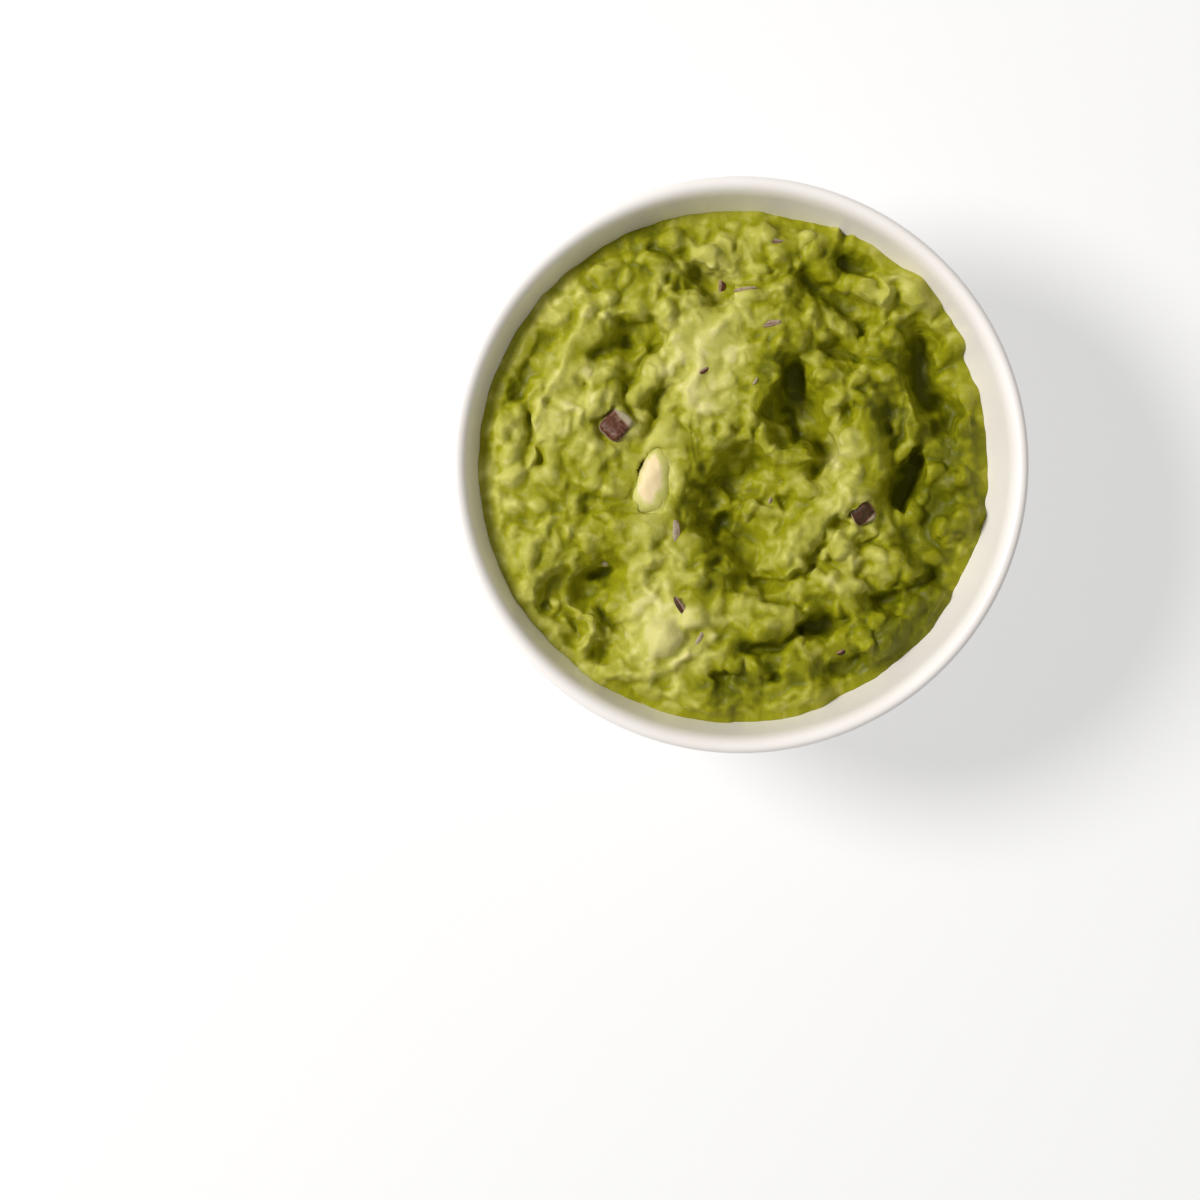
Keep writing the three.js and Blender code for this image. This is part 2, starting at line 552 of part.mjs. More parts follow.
const PRESSED_PIECES = [
  {
    name: 'avocado_chunk',
    size: [13, 7.2, 6],
    cells: [6, 4, 4],
    squareness: 3,
    arch: 0.1,
    taper: 0.2,
    at: [-15.5, -2.8],
    rise: -1.9,
    turn: 78,
    tilt: [10, 0],
    color: 0xe6dca6,
  },
  {
    name: 'red_onion_dice_large',
    size: [5.6, 5, 3],
    cells: [4, 4, 3],
    squareness: 5,
    arch: 0.18,
    at: [-22.5, 7.5],
    rise: 0.2,
    turn: 48,
    tilt: [-14, 10],
    color: 0x6b4030,
  },
  {
    name: 'red_onion_dice_small',
    size: [4.2, 3.6, 2.6],
    cells: [4, 4, 3],
    squareness: 5,
    arch: 0.15,
    at: [22.8, -8.8],
    rise: 0.1,
    turn: 28,
    tilt: [6, -12],
    color: 0x6b4030,
  },
];

// Slivers of red onion and one crumb of white onion, fused to the guacamole: their middle,
// the direction they lie in, and their length and width.
const SLIVERS = [
  { at: [-10.5, -26.1], turn: -54, size: [5, 1.2] },
  { at: [-3.1, 33.6], turn: 88, size: [3.6, 1.2] },
  { at: [6.6, 41.2], turn: -10, size: [3.8, 1] },
  { at: [5.6, 26], turn: 8, size: [4.6, 1.3] },
  { at: [-11.6, -12.2], turn: 90, size: [4.6, 1.3] },
  { at: [-24.9, -17.9], turn: -30, size: [2.2, 1.4] },
  { at: [18.9, -34.2], turn: 30, size: [2.4, 1.3] },
  { at: [-7.3, -31.6], turn: 60, size: [3.2, 0.9] },
  { at: [1, 32.3], turn: 6, size: [4.4, 0.8] },
  { at: [-6.6, 17.3], turn: 30, size: [2.4, 0.9] },
];
const SLIVER_HEIGHT = 2.4;
const SLIVER_PROUD = 0.35; // how far a sliver stands out of the guacamole

function restMatrix(x, y, z, turn, tilt = [0, 0]) {
  const rad = THREE.MathUtils.degToRad;
  const euler = new THREE.Euler(rad(tilt[0]), rad(tilt[1]), rad(turn), 'ZYX');
  const matrix = new THREE.Matrix4().makeRotationFromEuler(euler);
  return matrix.setPosition(x, y, z);
}

// Mean height of the surface under a round spot, so that a piece sits on what carries it.
function levelAround(x, y, radius) {
  const samples = 12;
  let sum = surfaceHeight(x, y);
  for (let i = 0; i < samples; i++) {
    const angle = (2 * Math.PI * i) / samples;
    sum += surfaceHeight(x + radius * Math.cos(angle), y + radius * Math.sin(angle));
  }
  return sum / (samples + 1);
}

function makePressedPiece({ size, cells, squareness, arch, taper, at: [x, y], rise, turn, tilt }, grow = 0) {
  const grown = size.map((edge) => edge + 2 * grow);
  const geometry = blockGeometry(grown, cells, squareness, arch, taper);
  const level = levelAround(x, y, size[1] / 2) + rise;
  return { geometry, matrix: restMatrix(x, y, level, turn, tilt) };
}

function makeGuacamole() {
  let solid = toManifold(makeHeap());
  for (const piece of PRESSED_PIECES) {
    const { geometry, matrix } = makePressedPiece(piece, SOCKET_GAP);
    solid = solid.subtract(toManifold(geometry.applyMatrix4(matrix)));
  }
  for (const { at: [x, y], turn, size: [length, width] } of SLIVERS) {
    const geometry = blockGeometry([length, width, SLIVER_HEIGHT], [3, 1, 1], 6);
    const level = levelAround(x, y, width) + SLIVER_PROUD - SLIVER_HEIGHT / 2;
    solid = solid.add(toManifold(geometry.applyMatrix4(restMatrix(x, y, level, turn))));
  }
  return fromManifold(solid);
}

// ---------------------------------------------------------------- the filled bowl

function addMesh(group, name, geometry, color, roughness, matrix) {
  const material = new THREE.MeshStandardMaterial({ color, roughness, metalness: 0 });
  const mesh = new THREE.Mesh(geometry, material);
  mesh.name = name;
  if (matrix) matrix.decompose(mesh.position, mesh.quaternion, mesh.scale);
  group.add(mesh);
}

const filledBowl = new THREE.Group();
addMesh(filledBowl, 'bowl', makeBowl(), 0xf3ece6, 0.25);
addMesh(filledBowl, 'guacamole', makeGuacamole(), 0x98932f, 0.45);
for (const piece of PRESSED_PIECES) {
  const { geometry, matrix } = makePressedPiece(piece);
  addMesh(filledBowl, piece.name, geometry, piece.color, 0.4, matrix);
}

export default filledBowl;
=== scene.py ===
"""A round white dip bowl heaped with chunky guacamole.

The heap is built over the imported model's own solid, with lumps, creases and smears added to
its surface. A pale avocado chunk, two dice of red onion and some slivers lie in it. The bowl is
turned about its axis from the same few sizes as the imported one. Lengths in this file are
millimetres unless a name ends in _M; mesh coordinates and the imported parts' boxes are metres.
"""

import math
import random

import bmesh
import bpy
import numpy as np
from bpy.props import FloatProperty, IntProperty, PointerProperty, StringProperty
from mathutils import Matrix, Vector, noise
from mathutils.bvhtree import BVHTree
from mathutils.kdtree import KDTree


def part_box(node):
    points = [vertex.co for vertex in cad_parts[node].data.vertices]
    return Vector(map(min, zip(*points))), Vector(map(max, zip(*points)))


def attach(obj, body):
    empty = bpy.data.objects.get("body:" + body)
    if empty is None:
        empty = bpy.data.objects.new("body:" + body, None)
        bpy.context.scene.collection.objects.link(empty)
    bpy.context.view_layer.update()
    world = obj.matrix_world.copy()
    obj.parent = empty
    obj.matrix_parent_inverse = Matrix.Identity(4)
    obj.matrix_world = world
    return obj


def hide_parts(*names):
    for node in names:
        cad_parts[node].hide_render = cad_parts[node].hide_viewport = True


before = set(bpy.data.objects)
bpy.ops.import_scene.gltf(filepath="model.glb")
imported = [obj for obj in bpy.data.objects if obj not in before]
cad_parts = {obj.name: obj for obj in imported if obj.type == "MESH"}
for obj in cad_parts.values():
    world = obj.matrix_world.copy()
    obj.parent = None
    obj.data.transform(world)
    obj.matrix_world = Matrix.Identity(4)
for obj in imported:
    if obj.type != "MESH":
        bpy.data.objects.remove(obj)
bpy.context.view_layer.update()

bl_info = {
    "name": "Bowl of guacamole",
    "version": (1, 0, 0),
    "blender": (4, 5, 0),
    "location": "View3D > Sidebar > Guacamole",
    "description": "Chunky guacamole with avocado and red onion in a glazed dip bowl",
    "category": "Add Mesh",
}

MM = 0.001
BOWL_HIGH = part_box("bowl")[1]
RIM_RADIUS = min(BOWL_HIGH.x, BOWL_HIGH.y) / MM
BOWL_HEIGHT = BOWL_HIGH.z / MM

# ---------------------------------------------------------------- the bowl's turned shape

FOOT_RADIUS = 27.0
FOOT_HEIGHT = 3.0
FOOT_STEP = 1.2  # the belly starts this far outside the foot
FOOT_ROUND = 0.6
FOOT_RING = 4.0  # width of the ring that the bowl stands on
FOOT_HOLLOW = 0.5  # and how far the ground under its middle is cut back
FOOT_FILLET = 0.5  # between the foot and the belly
WALL = 3.0
FLOOR = 4.5  # level of the bowl's floor
FLOOR_FLAT = 0.55  # radius of its flat part, against the foot of the wall
BELLY_ARC = math.radians(30)
LIP_ROUND = 1.0  # the lip's outer edge
LIP_SLOPE = 3.2  # the lip's inner side runs out into the wall this far down

HALF_WALL = WALL / 2
BELLY_START = Vector((FOOT_RADIUS + FOOT_STEP - HALF_WALL, FOOT_HEIGHT + HALF_WALL))
BELLY_END = Vector((RIM_RADIUS - HALF_WALL, BOWL_HEIGHT - HALF_WALL))
CHORD = BELLY_END - BELLY_START
ARC_RADIUS = CHORD.length / (2 * math.sin(BELLY_ARC / 2))
ARC_CENTRE = (
    (BELLY_START + BELLY_END) / 2
    + Vector((-CHORD.y, CHORD.x)).normalized() * ARC_RADIUS * math.cos(BELLY_ARC / 2)
)
ARC_END = math.atan2(BELLY_END.y - ARC_CENTRE.y, BELLY_END.x - ARC_CENTRE.x)


def wall_point(share, offset):
    """A point (radius, height) on the wall: share runs from the foot to the lip."""
    angle = ARC_END - BELLY_ARC * (1 - share)
    reach = ARC_RADIUS + offset
    return ARC_CENTRE + Vector((reach * math.cos(angle), reach * math.sin(angle)))


def inside_radius(z):
    """Radius of the bowl's inside at a height, for a number or an array."""
    return ARC_CENTRE.x + np.sqrt((ARC_RADIUS - HALF_WALL) ** 2 - (z - ARC_CENTRE.y) ** 2)


# ---------------------------------------------------------------- the heap's surface

SKIN = 0.37  # spacing of the rebuilt surface's points
KEPT_SHARE = 0.62  # share of its triangles that stay, most of them where the mash is rough
SKIRT_LEVEL = 26.0  # under this, the heap is a plain turned body against the wall
SKIRT_STEPS = 6
SOCKET_FILL = 1.12  # a socket's filling over the size of the piece that lies in it
SOCKET_SINK = 1.3  # and how much lower it lies than that piece
FIT_GAP = 0.35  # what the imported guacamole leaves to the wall
WALL_BITE = 0.7  # how far the dressed one reaches into it
WALL_BAND = 1.6  # width of the band that moves out to the wall
ABOVE_ALL = 60  # a level over everything, from which rays look down

# Lumps that stand out of the heap: x, y, half-length, half-width, turn in degrees.
LUMPS = (
    # upper left
    (-13.3, 42.4, 2.5, 2.2, 20), (-8.9, 39.9, 1.7, 1.4, 0), (-6.6, 39.5, 1.9, 1.6, 0),
    (-6.4, 37.0, 1.4, 1.1, 0), (-3.4, 41.2, 2.5, 2.0, 10), (-0.6, 44.2, 1.6, 1.2, 0),
    (-16.6, 37.9, 2.9, 2.0, -15), (-24.4, 36.0, 3.0, 2.2, 40), (-20.8, 38.4, 2.0, 1.4, 30),
    (-24.6, 31.6, 2.2, 1.7, 60), (-28.6, 28.0, 2.4, 1.8, 60), (-29.6, 31.2, 1.9, 1.5, 50),
    (-33.2, 27.0, 1.6, 1.2, 60), (-25.4, 27.4, 1.5, 1.2, 0), (-21.6, 34.8, 1.9, 1.4, 70),
    (-16.0, 31.4, 1.7, 1.3, 80), (-18.8, 29.0, 2.2, 1.7, 70), (-13.8, 28.8, 2.3, 1.8, -40),
    (-17.0, 17.6, 3.0, 2.3, 50), (-14.0, 22.0, 2.8, 1.9, 50), (-27.4, 12.4, 2.4, 1.8, 60),
    (-32.6, 7.0, 2.0, 1.3, 70), (-27.4, 3.0, 1.9, 1.5, 30), (-14.8, 6.4, 2.7, 2.2, 20),
    (-14.2, 12.4, 2.3, 1.9, 60), (-43.6, 7.0, 2.8, 2.0, 85), (-43.0, 2.4, 2.5, 2.0, 80),
    (-37.2, 15.0, 1.8, 1.2, 60), (-37.6, 19.0, 2.0, 1.3, 55), (-6.0, 7.2, 1.5, 1.1, 20),
    # upper right
    (4.0, 42.4, 2.4, 2.0, 20), (13.0, 42.4, 2.6, 2.2, 70), (12.4, 39.6, 2.3, 1.8, 40),
    (10.6, 37.4, 1.7, 1.3, 0), (6.4, 39.0, 2.1, 1.7, 30), (4.0, 37.0, 1.8, 1.3, 0),
    (1.4, 36.8, 1.3, 1.0, 0), (7.4, 33.4, 2.4, 1.9, 0), (2.0, 31.4, 2.7, 1.4, 5),
    (6.0, 35.4, 1.6, 0.9, 10), (19.0, 33.6, 2.3, 1.9, 30), (22.4, 32.2, 2.4, 2.0, 0),
    (26.0, 32.0, 2.4, 2.0, 70), (32.4, 31.4, 4.0, 2.8, -30), (36.4, 26.4, 2.1, 1.8, 60),
    (26.2, 28.2, 1.5, 1.1, 60), (22.0, 28.0, 1.7, 1.3, 0), (29.2, 27.2, 1.5, 1.2, 0),
    (27.6, 23.8, 2.4, 2.0, -30), (23.4, 25.0, 2.3, 1.7, 20), (5.4, 28.6, 2.0, 1.6, 0),
    (7.0, 22.4, 2.0, 1.5, 60), (13.0, 27.6, 2.1, 1.4, -50), (21.4, 16.4, 2.3, 1.8, 20),
    (26.2, 16.8, 2.4, 2.0, 30), (17.0, 12.0, 2.8, 2.2, 70), (22.2, 12.2, 1.8, 1.4, -40),
    (17.4, 8.0, 2.3, 1.8, 80), (15.0, 16.8, 2.0, 1.4, 10), (12.6, 4.0, 2.1, 1.7, 60),
    (41.0, 13.0, 2.3, 1.8, 80), (40.4, 8.0, 2.4, 1.6, 80), (37.8, 17.0, 1.8, 1.4, 60),
    (34.0, 22.0, 2.0, 1.5, 70), (37.2, 21.0, 1.8, 1.4, 80), (28.4, 8.4, 1.9, 1.3, 70),
    (33.8, 3.0, 1.4, 1.0, 60),
    # lower left
    (-42.0, -1.2, 2.6, 2.2, 60), (-36.4, -1.6, 2.3, 1.8, 20), (-44.4, -6.0, 1.2, 0.9, 80),
    (-42.0, -7.0, 2.2, 1.8, 0), (-37.0, -7.4, 2.2, 1.7, 0), (-27.4, -2.6, 2.1, 1.6, 20),
    (-23.8, -4.0, 1.6, 1.2, 0), (-41.6, -12.4, 1.9, 1.1, 80), (-36.2, -11.0, 2.0, 1.5, 60),
    (-39.0, -15.6, 3.4, 1.8, 80), (-31.4, -11.8, 1.8, 1.4, 60), (-28.4, -12.6, 1.2, 0.9, 0),
    (-23.0, -11.0, 1.8, 1.1, 10), (-17.4, -12.2, 3.0, 2.4, 40), (-17.6, -17.2, 3.0, 2.2, 20),
    (-20.8, -26.6, 2.6, 2.0, 50), (-21.0, -31.0, 2.4, 1.9, 80), (-15.2, -31.2, 4.2, 3.4, 10),
    (-9.2, -28.2, 2.6, 1.9, 40), (-27.6, -27.8, 2.2, 1.0, -70), (-29.6, -27.0, 1.1, 0.8, 80),
    (-17.0, -41.0, 2.4, 1.8, 0), (-13.0, -41.8, 1.9, 1.3, 0), (-1.2, -36.6, 2.5, 1.7, 80),
    (-1.4, -25.0, 2.4, 1.9, -20), (-4.6, -34.8, 1.2, 0.7, 30), (-33.6, -25.4, 1.3, 0.9, 60),
    (-12.2, -4.8, 1.9, 1.0, 70), (-1.2, -7.0, 1.8, 1.4, 40), (-8.6, -21.6, 2.2, 1.5, 0),
    # lower right
    (21.0, -2.6, 1.3, 1.0, 0), (8.0, -3.6, 1.8, 1.4, 60), (1.6, -8.4, 1.7, 1.2, 80),
    (6.2, -10.8, 1.4, 0.9, 80), (9.6, -12.4, 1.9, 1.3, 50), (6.2, -13.8, 1.5, 1.2, 0),
    (8.2, -17.0, 2.0, 1.4, 30), (4.2, -18.4, 1.8, 1.2, 10), (3.6, -15.0, 1.5, 1.2, 0),
    (17.0, -12.0, 2.2, 1.7, 40), (20.2, -10.8, 1.7, 1.4, 0), (18.6, -16.6, 1.9, 1.6, 0),
    (15.6, -16.2, 1.2, 1.0, 0), (12.8, -19.4, 1.9, 1.2, 20), (16.2, -20.8, 2.2, 1.7, 30),
    (14.6, -22.8, 1.6, 1.1, 20), (24.2, -16.2, 2.4, 2.0, -40), (25.0, -18.8, 2.5, 1.7, -45),
    (28.2, -17.2, 2.2, 1.9, 60), (34.2, -22.4, 1.7, 1.3, 30), (31.2, -25.0, 2.8, 2.0, 40),
    (28.6, -23.6, 1.3, 1.0, 0), (28.8, -28.2, 2.7, 2.0, 50), (18.6, -30.4, 2.2, 1.4, 85),
    (22.6, -33.2, 1.9, 1.3, 30), (24.2, -28.8, 2.4, 1.8, 60), (20.8, -27.2, 1.2, 0.8, 30),
    (17.4, -26.2, 2.0, 1.2, 80), (3.6, -29.6, 3.0, 1.9, 20), (5.6, -26.0, 2.2, 1.6, 0),
    (8.8, -26.4, 1.7, 1.2, 80), (8.6, -35.6, 2.8, 1.4, 85), (1.0, -40.6, 2.0, 1.4, 20),
    (6.8, -43.6, 2.0, 1.4, 10), (9.6, -40.8, 2.0, 1.2, 20), (15.2, -41.4, 2.1, 1.3, 20),
    (17.8, -0.6, 1.6, 1.2, 60), (19.4, 2.6, 1.5, 1.2, 0), (20.2, 5.6, 1.6, 1.2, 70),
    (16.8, 5.0, 1.4, 1.1, 20), (21.6, -0.4, 1.6, 1.2, 80), (20.2, -5.2, 1.5, 1.2, 50),
    (40.4, -7.2, 2.2, 1.7, 40), (36.4, -10.6, 2.4, 1.5, 40), (38.4, -13.2, 1.9, 1.5, 0),
    (34.4, -0.6, 2.8, 2.1, 20), (30.6, -8.0, 2.8, 2.2, 70), (33.2, -5.0, 1.8, 1.4, 60),
    (41.2, -1.6, 2.2, 1.6, 80), (25.4, -12.6, 2.0, 1.2, -40), (35.0, -16.4, 2.0, 1.5, 0),
    (21.8, -22.0, 1.6, 1.2, 60),
)
LUMP_RISE = 0.85  # a lump's height against its size, between its half-length and half-width
LUMP_GROWTH = 1.35  # its soft foot's size against its own
LUMP_SHIFT = (0.35, -0.12)  # its top's place from the listed one, against its size
LUMP_BLEND = 0.3  # rounding of the crease between two lumps

# Long crests (above zero) and creases (below): rise, half-width, points.
STROKES = (
    # the smooth lip of the swirl, with smears that run down to the left
    (1.1, 1.3, ((-1.6, 28.4), (-5.2, 25), (-7.8, 20), (-9, 16), (-9.6, 12), (-9.7, 8.2))),
    (-0.7, 0.9, ((-3.4, 20), (-4.6, 15.6))),
    (0.6, 1.1, ((-3, 14.6), (-1.6, 10.6))),
    (-1.1, 0.8, ((-9.4, 7), (-7.8, 8.6), (-5.4, 9.4), (-3.2, 8.6), (-1.6, 7))),
    # arcs on the left
    (1.9, 1.0, ((-28.8, 29), (-30.4, 24.4), (-33, 19), (-35, 15), (-37, 9), (-38, 3.4), (-38.8, 0))),
    (-2.0, 0.8, ((-37.4, 14), (-38.4, 11), (-38.7, 7), (-38.5, 4), (-39.7, 0.6))),
    (-1.6, 1.2, ((-36, 24), (-39.4, 19.6), (-43, 14))),
    (-0.8, 0.7, ((-31.8, 14.4), (-33.4, 13), (-35.2, 11.4))),
    (-1.5, 0.9, ((-30.3, 16.4), (-30.2, 16))),
    (0.8, 0.9, ((-31.6, 13), (-33.6, 9.4), (-34.6, 5))),
    (-1.0, 0.7, ((-30.6, 5.6), (-32.4, 2.4), (-32.6, -0.6))),
    (-1.0, 1.2, ((-21.8, 26), (-22.2, 23.6))),
    (-1.5, 1.5, ((-22.4, 23), (-25, 21.8), (-29.4, 20.4))),
    (-1.0, 0.9, ((-16.4, 24), (-20.2, 20), (-21.6, 17))),
    (-1.3, 0.9, ((-24, 14.4), (-24, 13.4))),
    (-1.5, 1.2, ((-15.4, 15.4), (-18, 12.4), (-17.2, 8.6), (-18.6, 5), (-20, 2.4))),
    (0.8, 0.9, ((-20, 15.4), (-18.9, 11), (-19.2, 6.6))),
    (-1.0, 0.8, ((-14.2, 31.8), (-12, 29.6), (-9.6, 27.8))),
    (-1.2, 0.9, ((-27, 8), (-25.6, 6.4), (-25, 4.6))),
    # left and lower left
    (-1.2, 0.8, ((-31.6, -3), (-27.4, -5.6), (-21.4, -6.6))),
    (-1.0, 0.7, ((-25.2, -0.6), (-22, -2.2), (-20, -0.4))),
    (-1.4, 0.9, ((-34.4, -14.2), (-34.8, -13.6))),
    (-1.2, 1.1, ((-26.4, -16.6), (-24, -16.4), (-22.8, -17.8))),
    (-1.0, 0.7, ((-17, -21.4), (-15.6, -22.8), (-14.4, -23.6))),
    (-0.9, 0.8, ((-16.6, -25.6), (-18.2, -28), (-18.9, -31))),
    (-1.3, 0.9, ((-26.2, -25), (-25, -29), (-24, -33))),
    (1.0, 0.8, ((-24, -38.8), (-17.6, -37.9), (-12, -36.4), (-8, -33.8), (-5.2, -31))),
    (-0.5, 1.0, ((-24, -40.4), (-17.8, -39.6), (-13, -38.6), (-8.4, -36.6))),
    (-1.6, 1.2, ((-28.3, -34.4), (-27.7, -34.2))),
    (0.8, 0.7, ((-33, -27), (-31.4, -30.4), (-30, -33.2))),
    # middle
    (0.9, 0.8, ((1.4, 8), (2.2, 5.4), (4.6, 3), (9, 2))),
    (-1.4, 1.0, ((-6.4, 1.4), (-10, -3.4), (-11.6, -7.6))),
    (-1.3, 0.9, ((4.4, -6.2), (5.8, -6.6))),
    (-1.0, 0.9, ((-10, -11), (-6.4, -10.6))),
    (-1.0, 0.9, ((-8.8, -18.8), (-4.4, -17.4), (-2.6, -18.8))),
    # right-hand ridge and what lies round it
    (1.2, 1.4, ((17.4, 4), (17.6, 0), (18.6, -4))),
    (-1.1, 1.1, ((20.6, -8.6), (16.6, -9.2), (13, -13.4), (11.4, -18.4), (5, -20.2), (0, -20.4))),
    (-1.2, 0.9, ((19.2, 16), (22.4, 14), (24, 11.4))),
    (-1.3, 1.0, ((28.4, 33.4), (28.3, 30.2))),
    (-1.0, 0.7, ((26.2, 26.8), (28.6, 25.9), (30, 24.4))),
    (-1.0, 0.7, ((36.6, 30), (38.8, 26.8))),
    (1.0, 0.9, ((27.6, 16.4), (28.6, 12.2), (30.6, 8), (31.0, 4.4), (28.4, 1.2))),
    # lower right
    (-1.3, 0.9, ((21.6, -19.6), (23.8, -21.6), (26.4, -23.2))),
    (-1.2, 0.8, ((19.4, -27.4), (23, -26.4), (26, -25.4))),
    (-1.2, 0.8, ((20.2, -29.4), (20.6, -31.6))),
    (-1.3, 0.8, ((31.4, -13.6), (31, -17.4), (32.6, -20.4))),
    (-1.2, 0.8, ((29, -21.6), (31.6, -22), (33, -20.8))),
    (-1.2, 0.8, ((30.4, -32), (32.8, -28), (35.6, -24.6))),
    (-1.3, 1.0, ((0.4, -33), (5, -32.2), (9.6, -30.6), (12.4, -28.8), (11.4, -26))),
    (-1.0, 0.8, ((-3, -30.6), (-4.6, -33), (-7, -34.6))),
    (-1.1, 1.0, ((4, -38.4), (4.8, -36.6))),
    (-1.0, 1.0, ((-4.8, -38.4), (-5.4, -36.6))),
    # top
    (-1.0, 0.7, ((-1.2, 32.6), (1, 33.2), (3, 33.6))),
    (-1.3, 1.1, ((-16.8, 35.2), (-12.4, 34.2), (-8, 31.6), (-6, 34.6))),
    (-1.2, 1.0, ((-9.6, 43.8), (-8.2, 42.6))),
    (-1.0, 0.8, ((2.4, 38.8), (3.2, 38))),
    (-0.6, 1.3, ((9, 35.4), (12, 33))),
)
STROKE_SHIFT = np.array((0.6, -0.2))  # a stroke's place from its line, against its half-width
CREST_SHARE = 0.6  # what the soft paste keeps of a crest's rise
CREASE_SHARE = 0.5  # and of a crease's depth

CRUMBS = 2000  # small soft crumbs all over the heap
CRUMB_RADIUS = (0.85, 2.6)
CRUMB_RISE = (0.3, 0.9)
CRUMB_BLEND = 0.15
CRUMB_LEVEL = 40  # they reach as far out as the wall does at this height
CRUMB_SEED = 41

# Smooth noise in the forms, as length and reach.
WARP = ((5.0, 0.8), (2.2, 0.45))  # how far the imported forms' outlines stray
WARP_REACH = 45.5  # and the radius past which they don't
STRAY = ((2.6, 0.9), (6.5, 1.6))  # how far lumps and crumbs stray from round
PLACED_STRAY = 0.7  # and those with a place of their own, against that
PULP = ((7.0, 1.1), (3.4, 1.0), (1.7, 0.5), (0.9, 0.16))  # the paste's own swells
UNEVEN_LENGTH = 9  # over this length the roughness changes
NOISE_STEP = 7.31  # distance between one seed's noise and the next one's

# How the relief calms down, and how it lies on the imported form.
SMEAR_CALM = 0.6  # share that a smear takes from it
WALL_CALM = 0.6  # share that it loses at the wall
HOLLOW_CALM = 0.65  # share that it loses in a hollow
HOLLOW_DEPTHS = (0.3, 1.8)  # where a hollow starts to count, and where it counts in full
RELIEF_SINK = 0.3  # all of it lies this much lower, to make up for the lumps that rise
PRESSED_SINK = 0.9  # depth of the seat under a piece that is pressed in
NORMAL_LEAN = 0.45  # 0 lifts relief straight up, 1 straight out of the surface

# How often a point takes its neighbours' mean: to round the facets, to find the level round
# it for the relief, and to find the near and far levels for the painted shade of its hollows
# and the painted light of its crests.
ROUNDING_TURNS = 7
SURROUND_TURNS = 260
NEAR_TURNS = 14
FAR_TURNS = 70

# Patches where the mash is painted paler (above zero) or greener and darker: mostly painted
# light on lit crests and painted shade in hollows and on shaded slopes, partly its own tone:
# x, y, radius, tone.
TONE_AND_LIGHT_PATCHES = (
    (-38, 6, 9, 0.16), (-31, 13, 7, 0.3), (-42, -3, 6, 0.18), (-38, -14, 6, 0.1), (-33, 28, 7, 0.18),
    (-24, 29, 5, 0.12), (-9, 24, 8, 0.3), (-6, 13, 7, 0.34), (-14, 17, 5, 0.2), (0, 23, 7, 0.26),
    (-18, 5, 6, 0.3), (-12, -33, 8, 0.42), (-16, -27, 7, 0.36), (-14, -18, 6, 0.2), (-24, -32, 5, 0.1),
    (19, 2, 6, 0.2), (18, 1, 3, 0.3), (20, 7, 4, 0.16), (6, -15, 5, 0.1), (18, -8, 5, 0.24),
    (22, -18, 6, 0.26), (14, -19, 4, 0.1), (3, -27, 5, 0.1), (28, 31, 6, 0.1), (-2, 36, 6, 0.16),
    (1, 42, 5, 0.12), (-7, 38, 5, 0.14), (8, 14, 6, -0.3), (6, 20, 5, -0.3), (13, 4, 5, -0.2),
    (25, 9, 6, -0.34), (24, 22, 4, -0.16), (30, 18, 5, -0.2), (36, 8, 7, -0.26), (37, 20, 6, -0.2),
    (42, 4, 7, -0.3), (40, -8, 8, -0.36), (31, -4, 7, -0.26), (35, -22, 8, -0.36), (30, -32, 8, -0.4),
    (22, -36, 7, -0.24), (9, -37, 6, -0.24), (3, -32, 5, -0.24), (-3, -41, 6, -0.4), (-6, -4, 6, -0.2),
    (-4, -18, 6, -0.22), (-1, -11, 6, -0.14), (-19, 1, 3, -0.2), (-12.6, -1.5, 2.4, 0.35),
    (-16, -8.5, 3, 0.25), (-24, -23, 5, -0.24), (-36, 23, 4, -0.16), (-22, 23, 5, -0.16),
    (-12, 33, 5, -0.1), (14, 33, 6, -0.12), (20, 38, 5, -0.26), (-42, 14, 4, -0.26), (-17, 42, 5, -0.24),
    (5, 5, 5, -0.06), (15, -27, 5, -0.14),
)

# Where the spoon left the paste smooth: x, y, radius.
SMEARED = ((-4, 20, 6), (-15, -30, 6), (-34, 19, 6), (33, 12, 6), (-19, 20, 4))


def smooth_step(low, high, value):
    """0 below low and 1 above high, eased between, for arrays."""
    share = np.clip((value - low) / (high - low), 0, 1)
    return share * share * (3 - 2 * share)


def soft_max(a, b, width):
    """The larger of two arrays, with the crease between them rounded."""
    share = np.clip(0.5 + 0.5 * (a - b) / width, 0, 1)
    return b + (a - b) * share + width * share * (1 - share)


def line_distance(points, line):
    """How far each of the points (n, 2) is from a line through the given stations."""
    nearest = np.full(len(points), np.inf)
    for start, end in zip(line, line[1:]):
        start, end = np.array(start, float), np.array(end, float)
        step = end - start
        along = np.clip((points - start) @ step / (step @ step), 0, 1)
        gap = points - start - along[:, None] * step
        nearest = np.minimum(nearest, np.hypot(gap[:, 0], gap[:, 1]))
    return nearest


def wall_radius(z):
    """Radius of the bowl's inside at heights (n), held between its floor and its lip."""
    return inside_radius(np.clip(z, FLOOR, BOWL_HEIGHT - 2))


def noise_field(points, length, seed):
    """Smooth noise from about -1 to 1 at points (n, 2), its lumps about a length across."""
    height = seed * NOISE_STEP
    return np.array([noise.noise((x / length, y / length, height)) for x, y in points])


def sway(points, length, reach, seed):
    """A smooth, uneven shift for points (n, 2), of up to about a reach over about a length."""
    return reach * np.stack([noise_field(points, length, seed + axis) for axis in (0, 1)], 1)


def along_across(points, x, y, turn):
    """Where points (n, 2) lie along and across a form at x, y that is turned some degrees."""
    cos, sin = math.cos(math.radians(turn)), math.sin(math.radians(turn))
    dx, dy = points[:, 0] - x, points[:, 1] - y
    return dx * cos + dy * sin, dy * cos - dx * sin


